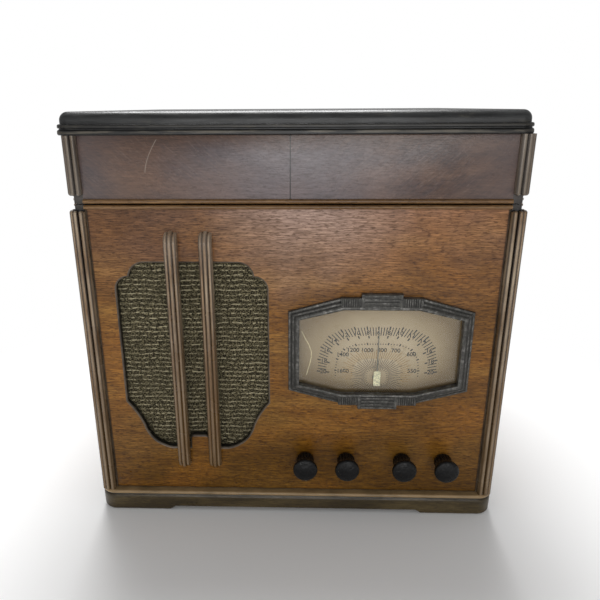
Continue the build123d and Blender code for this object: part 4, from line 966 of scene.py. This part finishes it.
def dial():
    plate_low, plate_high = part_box("dial_plate")
    face = plate_low.y
    loop = oblong(plate_low.x, plate_high.x, plate_low.z, plate_high.z)
    plate = flat_shape([loop, circle(HUB.x, HUB_Z, 4 * MM)], face, plate_high.y - face, 0.2 * MM)
    paper = dial_paper("dial_paper", DIAL.x, DIAL.z)
    add_piece("dial_face", plate, "case", paper, "dial_paint", "dial_plate")
    marks, fan = [], []
    pale = ink("dial_crack", (0.55, 0.46, 0.28))
    for step in range(-28, 29):
        turn = step * 3.0
        if step % 4:
            marks.append(mark(46.5 * MM, 55.5 * MM, 0.85 * MM, turn, face))
        else:
            marks.append(mark(43.5 * MM, 46.5 * MM, 1.3 * MM, turn, face))
            marks.append(mark(52.8 * MM, 56.5 * MM, 1.3 * MM, turn, face))
            x, z = on_bow(49.7 * MM, turn)
            marks.append(numeral(str(6 + abs(step) // 2), HUB.x + x, HUB_Z + z, face, 6.6 * MM))
    for step in range(-22, 23):
        inner, outer, width = (36.6, 37.8, 0.9) if step % 4 else (36.2, 38.6, 1.3)
        marks.append(mark(inner * MM, outer * MM, width * MM, step * 4.0, face))
    for step in range(64):
        marks.append(mark((8 + (step % 2) * 2) * MM, (19 + (step % 3) * 2) * MM, 0.45 * MM, step * 5.625, face))
    for step in range(-22, 23):
        fan.append(mark(21 * MM, (31 if step % 2 else 28) * MM, 0.7 * MM, step * 4.4 + 2.0, face))
    for text, x, z in (("1200", -25.2, 30.4), ("1000", -10.8, 30.2), ("800", 4.6, 30.4), ("700", 18.4, 30.0),
                       ("600", 34.6, 26.0), ("1400", -35.8, 25.2), ("1600", -35.2, 6.6), ("550", 36.2, 7.2)):
        marks.append(numeral(text, HUB.x + x * MM, HUB_Z + z * MM, face, 6.4 * MM))
    crack = []
    bends = [(-78.0, 50.6), (-74.7, 43.7), (-70.3, 35.5), (-68.0, 28.5), (-68.0, 21.5), (-69.4, 14.7),
             (-71.3, 8.0), (-72.8, 2.2)]
    for (ax, az), (bx, bz) in zip(bends, bends[1:]):
        line = box_mesh((-0.3 * MM, 0.3 * MM), (face - 0.05 * MM, face), (0, math.hypot(bx - ax, bz - az) * MM))
        turn = Matrix.Rotation(math.atan2(bx - ax, bz - az), 4, "Y")
        line.transform(Matrix.Translation((HUB.x + ax * MM, 0, HUB_Z + az * MM)) @ turn)
        crack.append(line)
    for meshes, colour in ((marks, dial_black), (fan, dial_gold), (crack, pale)):
        for mesh in meshes:
            mesh.materials.clear()
            mesh.materials.append(colour)
    add_piece("dial_print", joined(marks + fan + crack), "case", [dial_black, dial_gold, pale], "dial_paint")


dial()


def pointer():
    """Cream hand with a broad round foot on a dull metal boss."""
    low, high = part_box("pointer")
    y = low.y + 0.5 * MM
    cream = ink("pointer_cream", (0.50, 0.45, 0.30))
    needle = ink("pointer_needle", (0.115, 0.105, 0.080))
    half = [(0, -8.2), (2.8, -8.2), (3.6, -7.4), (3.6, 7.0), (2.9, 8.2), (0.6, 8.8), (0.4, 52.0), (0, 56.0)]
    hand = flat_shape([both_sides(half, HUB.x, HUB_Z)], y, 0.9 * MM, 0.25 * MM)
    hand.materials.append(cream)
    hand.materials.append(needle)
    for face in hand.polygons:
        face.material_index = 1 if face.center.z > HUB_Z + 8.9 * MM else 0
    behind = high.y - y - 0.9 * MM
    boss = turned([(3.4 * MM, 0), (3.4 * MM, behind), (0.5 * MM, behind)], (HUB.x, high.y, HUB_Z))
    boss.materials.append(bronze)
    inks = [cream, needle, bronze]
    add_piece("pointer_hand", joined([hand, boss]), "tuning_gang", inks, "dial_paint", "pointer")


pointer()


def ridged_ring(outer, inner, profile, lift):
    """A frame between two outlines of as many points. profile is (share of the way in, height)."""
    rows = []
    for share, height in profile:
        rows.append([(ax + (bx - ax) * share, lift - height * MM, az + (bz - az) * share)
                     for (ax, az), (bx, bz) in zip(outer, inner)])
    return grid_mesh(rows, close_rows=True, angle=28)


def escutcheon():
    """Cast frame: mitred ridges round the window, and fluted plates at the top and the bottom."""
    low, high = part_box("dial_escutcheon")
    x, z = (low.x + high.x) / 2, (low.z + high.z) / 2
    outer = octagon((40.0, 57.4), (91.5, 43.0), x, z)
    inner = octagon((36.5, 46.0), (80.5, 35.2), x, z)
    profile = [(0, 0), (0, 2.4), (0.04, 3.2), (0.12, 3.6), (0.20, 3.6), (0.25, 3.1), (0.29, 3.1), (0.33, 4.0),
               (0.40, 4.7), (0.50, 5.0), (0.55, 4.6), (0.59, 4.6), (0.63, 5.4), (0.70, 6.1), (0.80, 6.6),
               (0.88, 6.8), (0.95, 6.6), (1.0, 6.0), (1.0, -0.1)]
    parts = [ridged_ring(outer, inner, profile, FRONT)]

    def raised(middle_x, half_width, first, last, height, thickness, bevel):
        """A raised oblong from first to last, which are measured outwards from the frame's own edge."""
        low_z, high_z = sorted((edge + side * first * MM, edge + side * last * MM))
        loop = oblong(middle_x - half_width * MM, middle_x + half_width * MM, low_z, high_z)
        parts.append(flat_shape([loop], FRONT - height * MM, thickness * MM, bevel * MM))

    for side in (1, -1):
        edge = z + side * 57.0 * MM
        raised(x, 40.0, 1.2, -8.6, 5.6, 5.6, 0.45)
        raised(x, 20.0, 5.3, -10.0, 6.2, 6.2, 0.45)
        for k in range(8):
            for way in (-1, 1):
                raised(x + way * (22.6 + 2.2 * k) * MM, 0.65, 0.8, -8.0, 6.5, 1.4, 0.4)
        for k in range(4):
            raised(x, 17.0, 4.5 - 3.6 * k, 2.7 - 3.6 * k, 7.0, 1.4, 0.45)
    for mesh in parts:
        mesh.materials.clear()
        mesh.materials.append(bronze)
    add_piece("dial_frame", joined(parts), "case", bronze, "bronze", "dial_escutcheon")


escutcheon()


# ---------------------------------------------------------------- knobs
FLUTES = 18
FLUTE_DEPTH = 1.1 * MM


def knob(name, body):
    """Fluted neck that flares to a smooth, domed disc."""
    low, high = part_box(name)
    x, z, back = (low.x + high.x) / 2, (low.z + high.z) / 2, high.y
    profile = [(3.4, 0), (8.6, 0), (9.3, 0.4), (9.5, 1.4), (9.4, 3), (9.3, 5), (9.4, 7), (9.7, 9), (10.2, 11),
               (10.8, 12.8), (11.5, 14.4), (12.2, 16.0), (12.6, 17.3), (12.7, 18.6), (12.55, 19.8), (12.1, 20.7),
               (11.2, 21.3), (9.0, 22.0), (6.5, 22.6), (3.5, 23.0), (0.6, 23.15)]

    def fluted(radius, reach, turn):
        fade = min(1.0, max(0.0, (18.0 * MM - reach) / (4.0 * MM))) * min(1.0, reach / (1.0 * MM))
        return radius - FLUTE_DEPTH * fade * (1 - abs(math.sin(FLUTES / 2 * turn))) ** 1.3

    mesh = turned([(r * MM, d * MM) for r, d in profile], (x, back, z), steps=240, radius_at=fluted)
    add_piece(name + "_moulding", mesh, body, bakelite, "bakelite", name)


for name, body in (("volume_knob", "volume_control"), ("tone_knob", "tone_control"),
                   ("tuning_knob", "tuning_control"), ("band_knob", "band_switch")):
    knob(name, body)
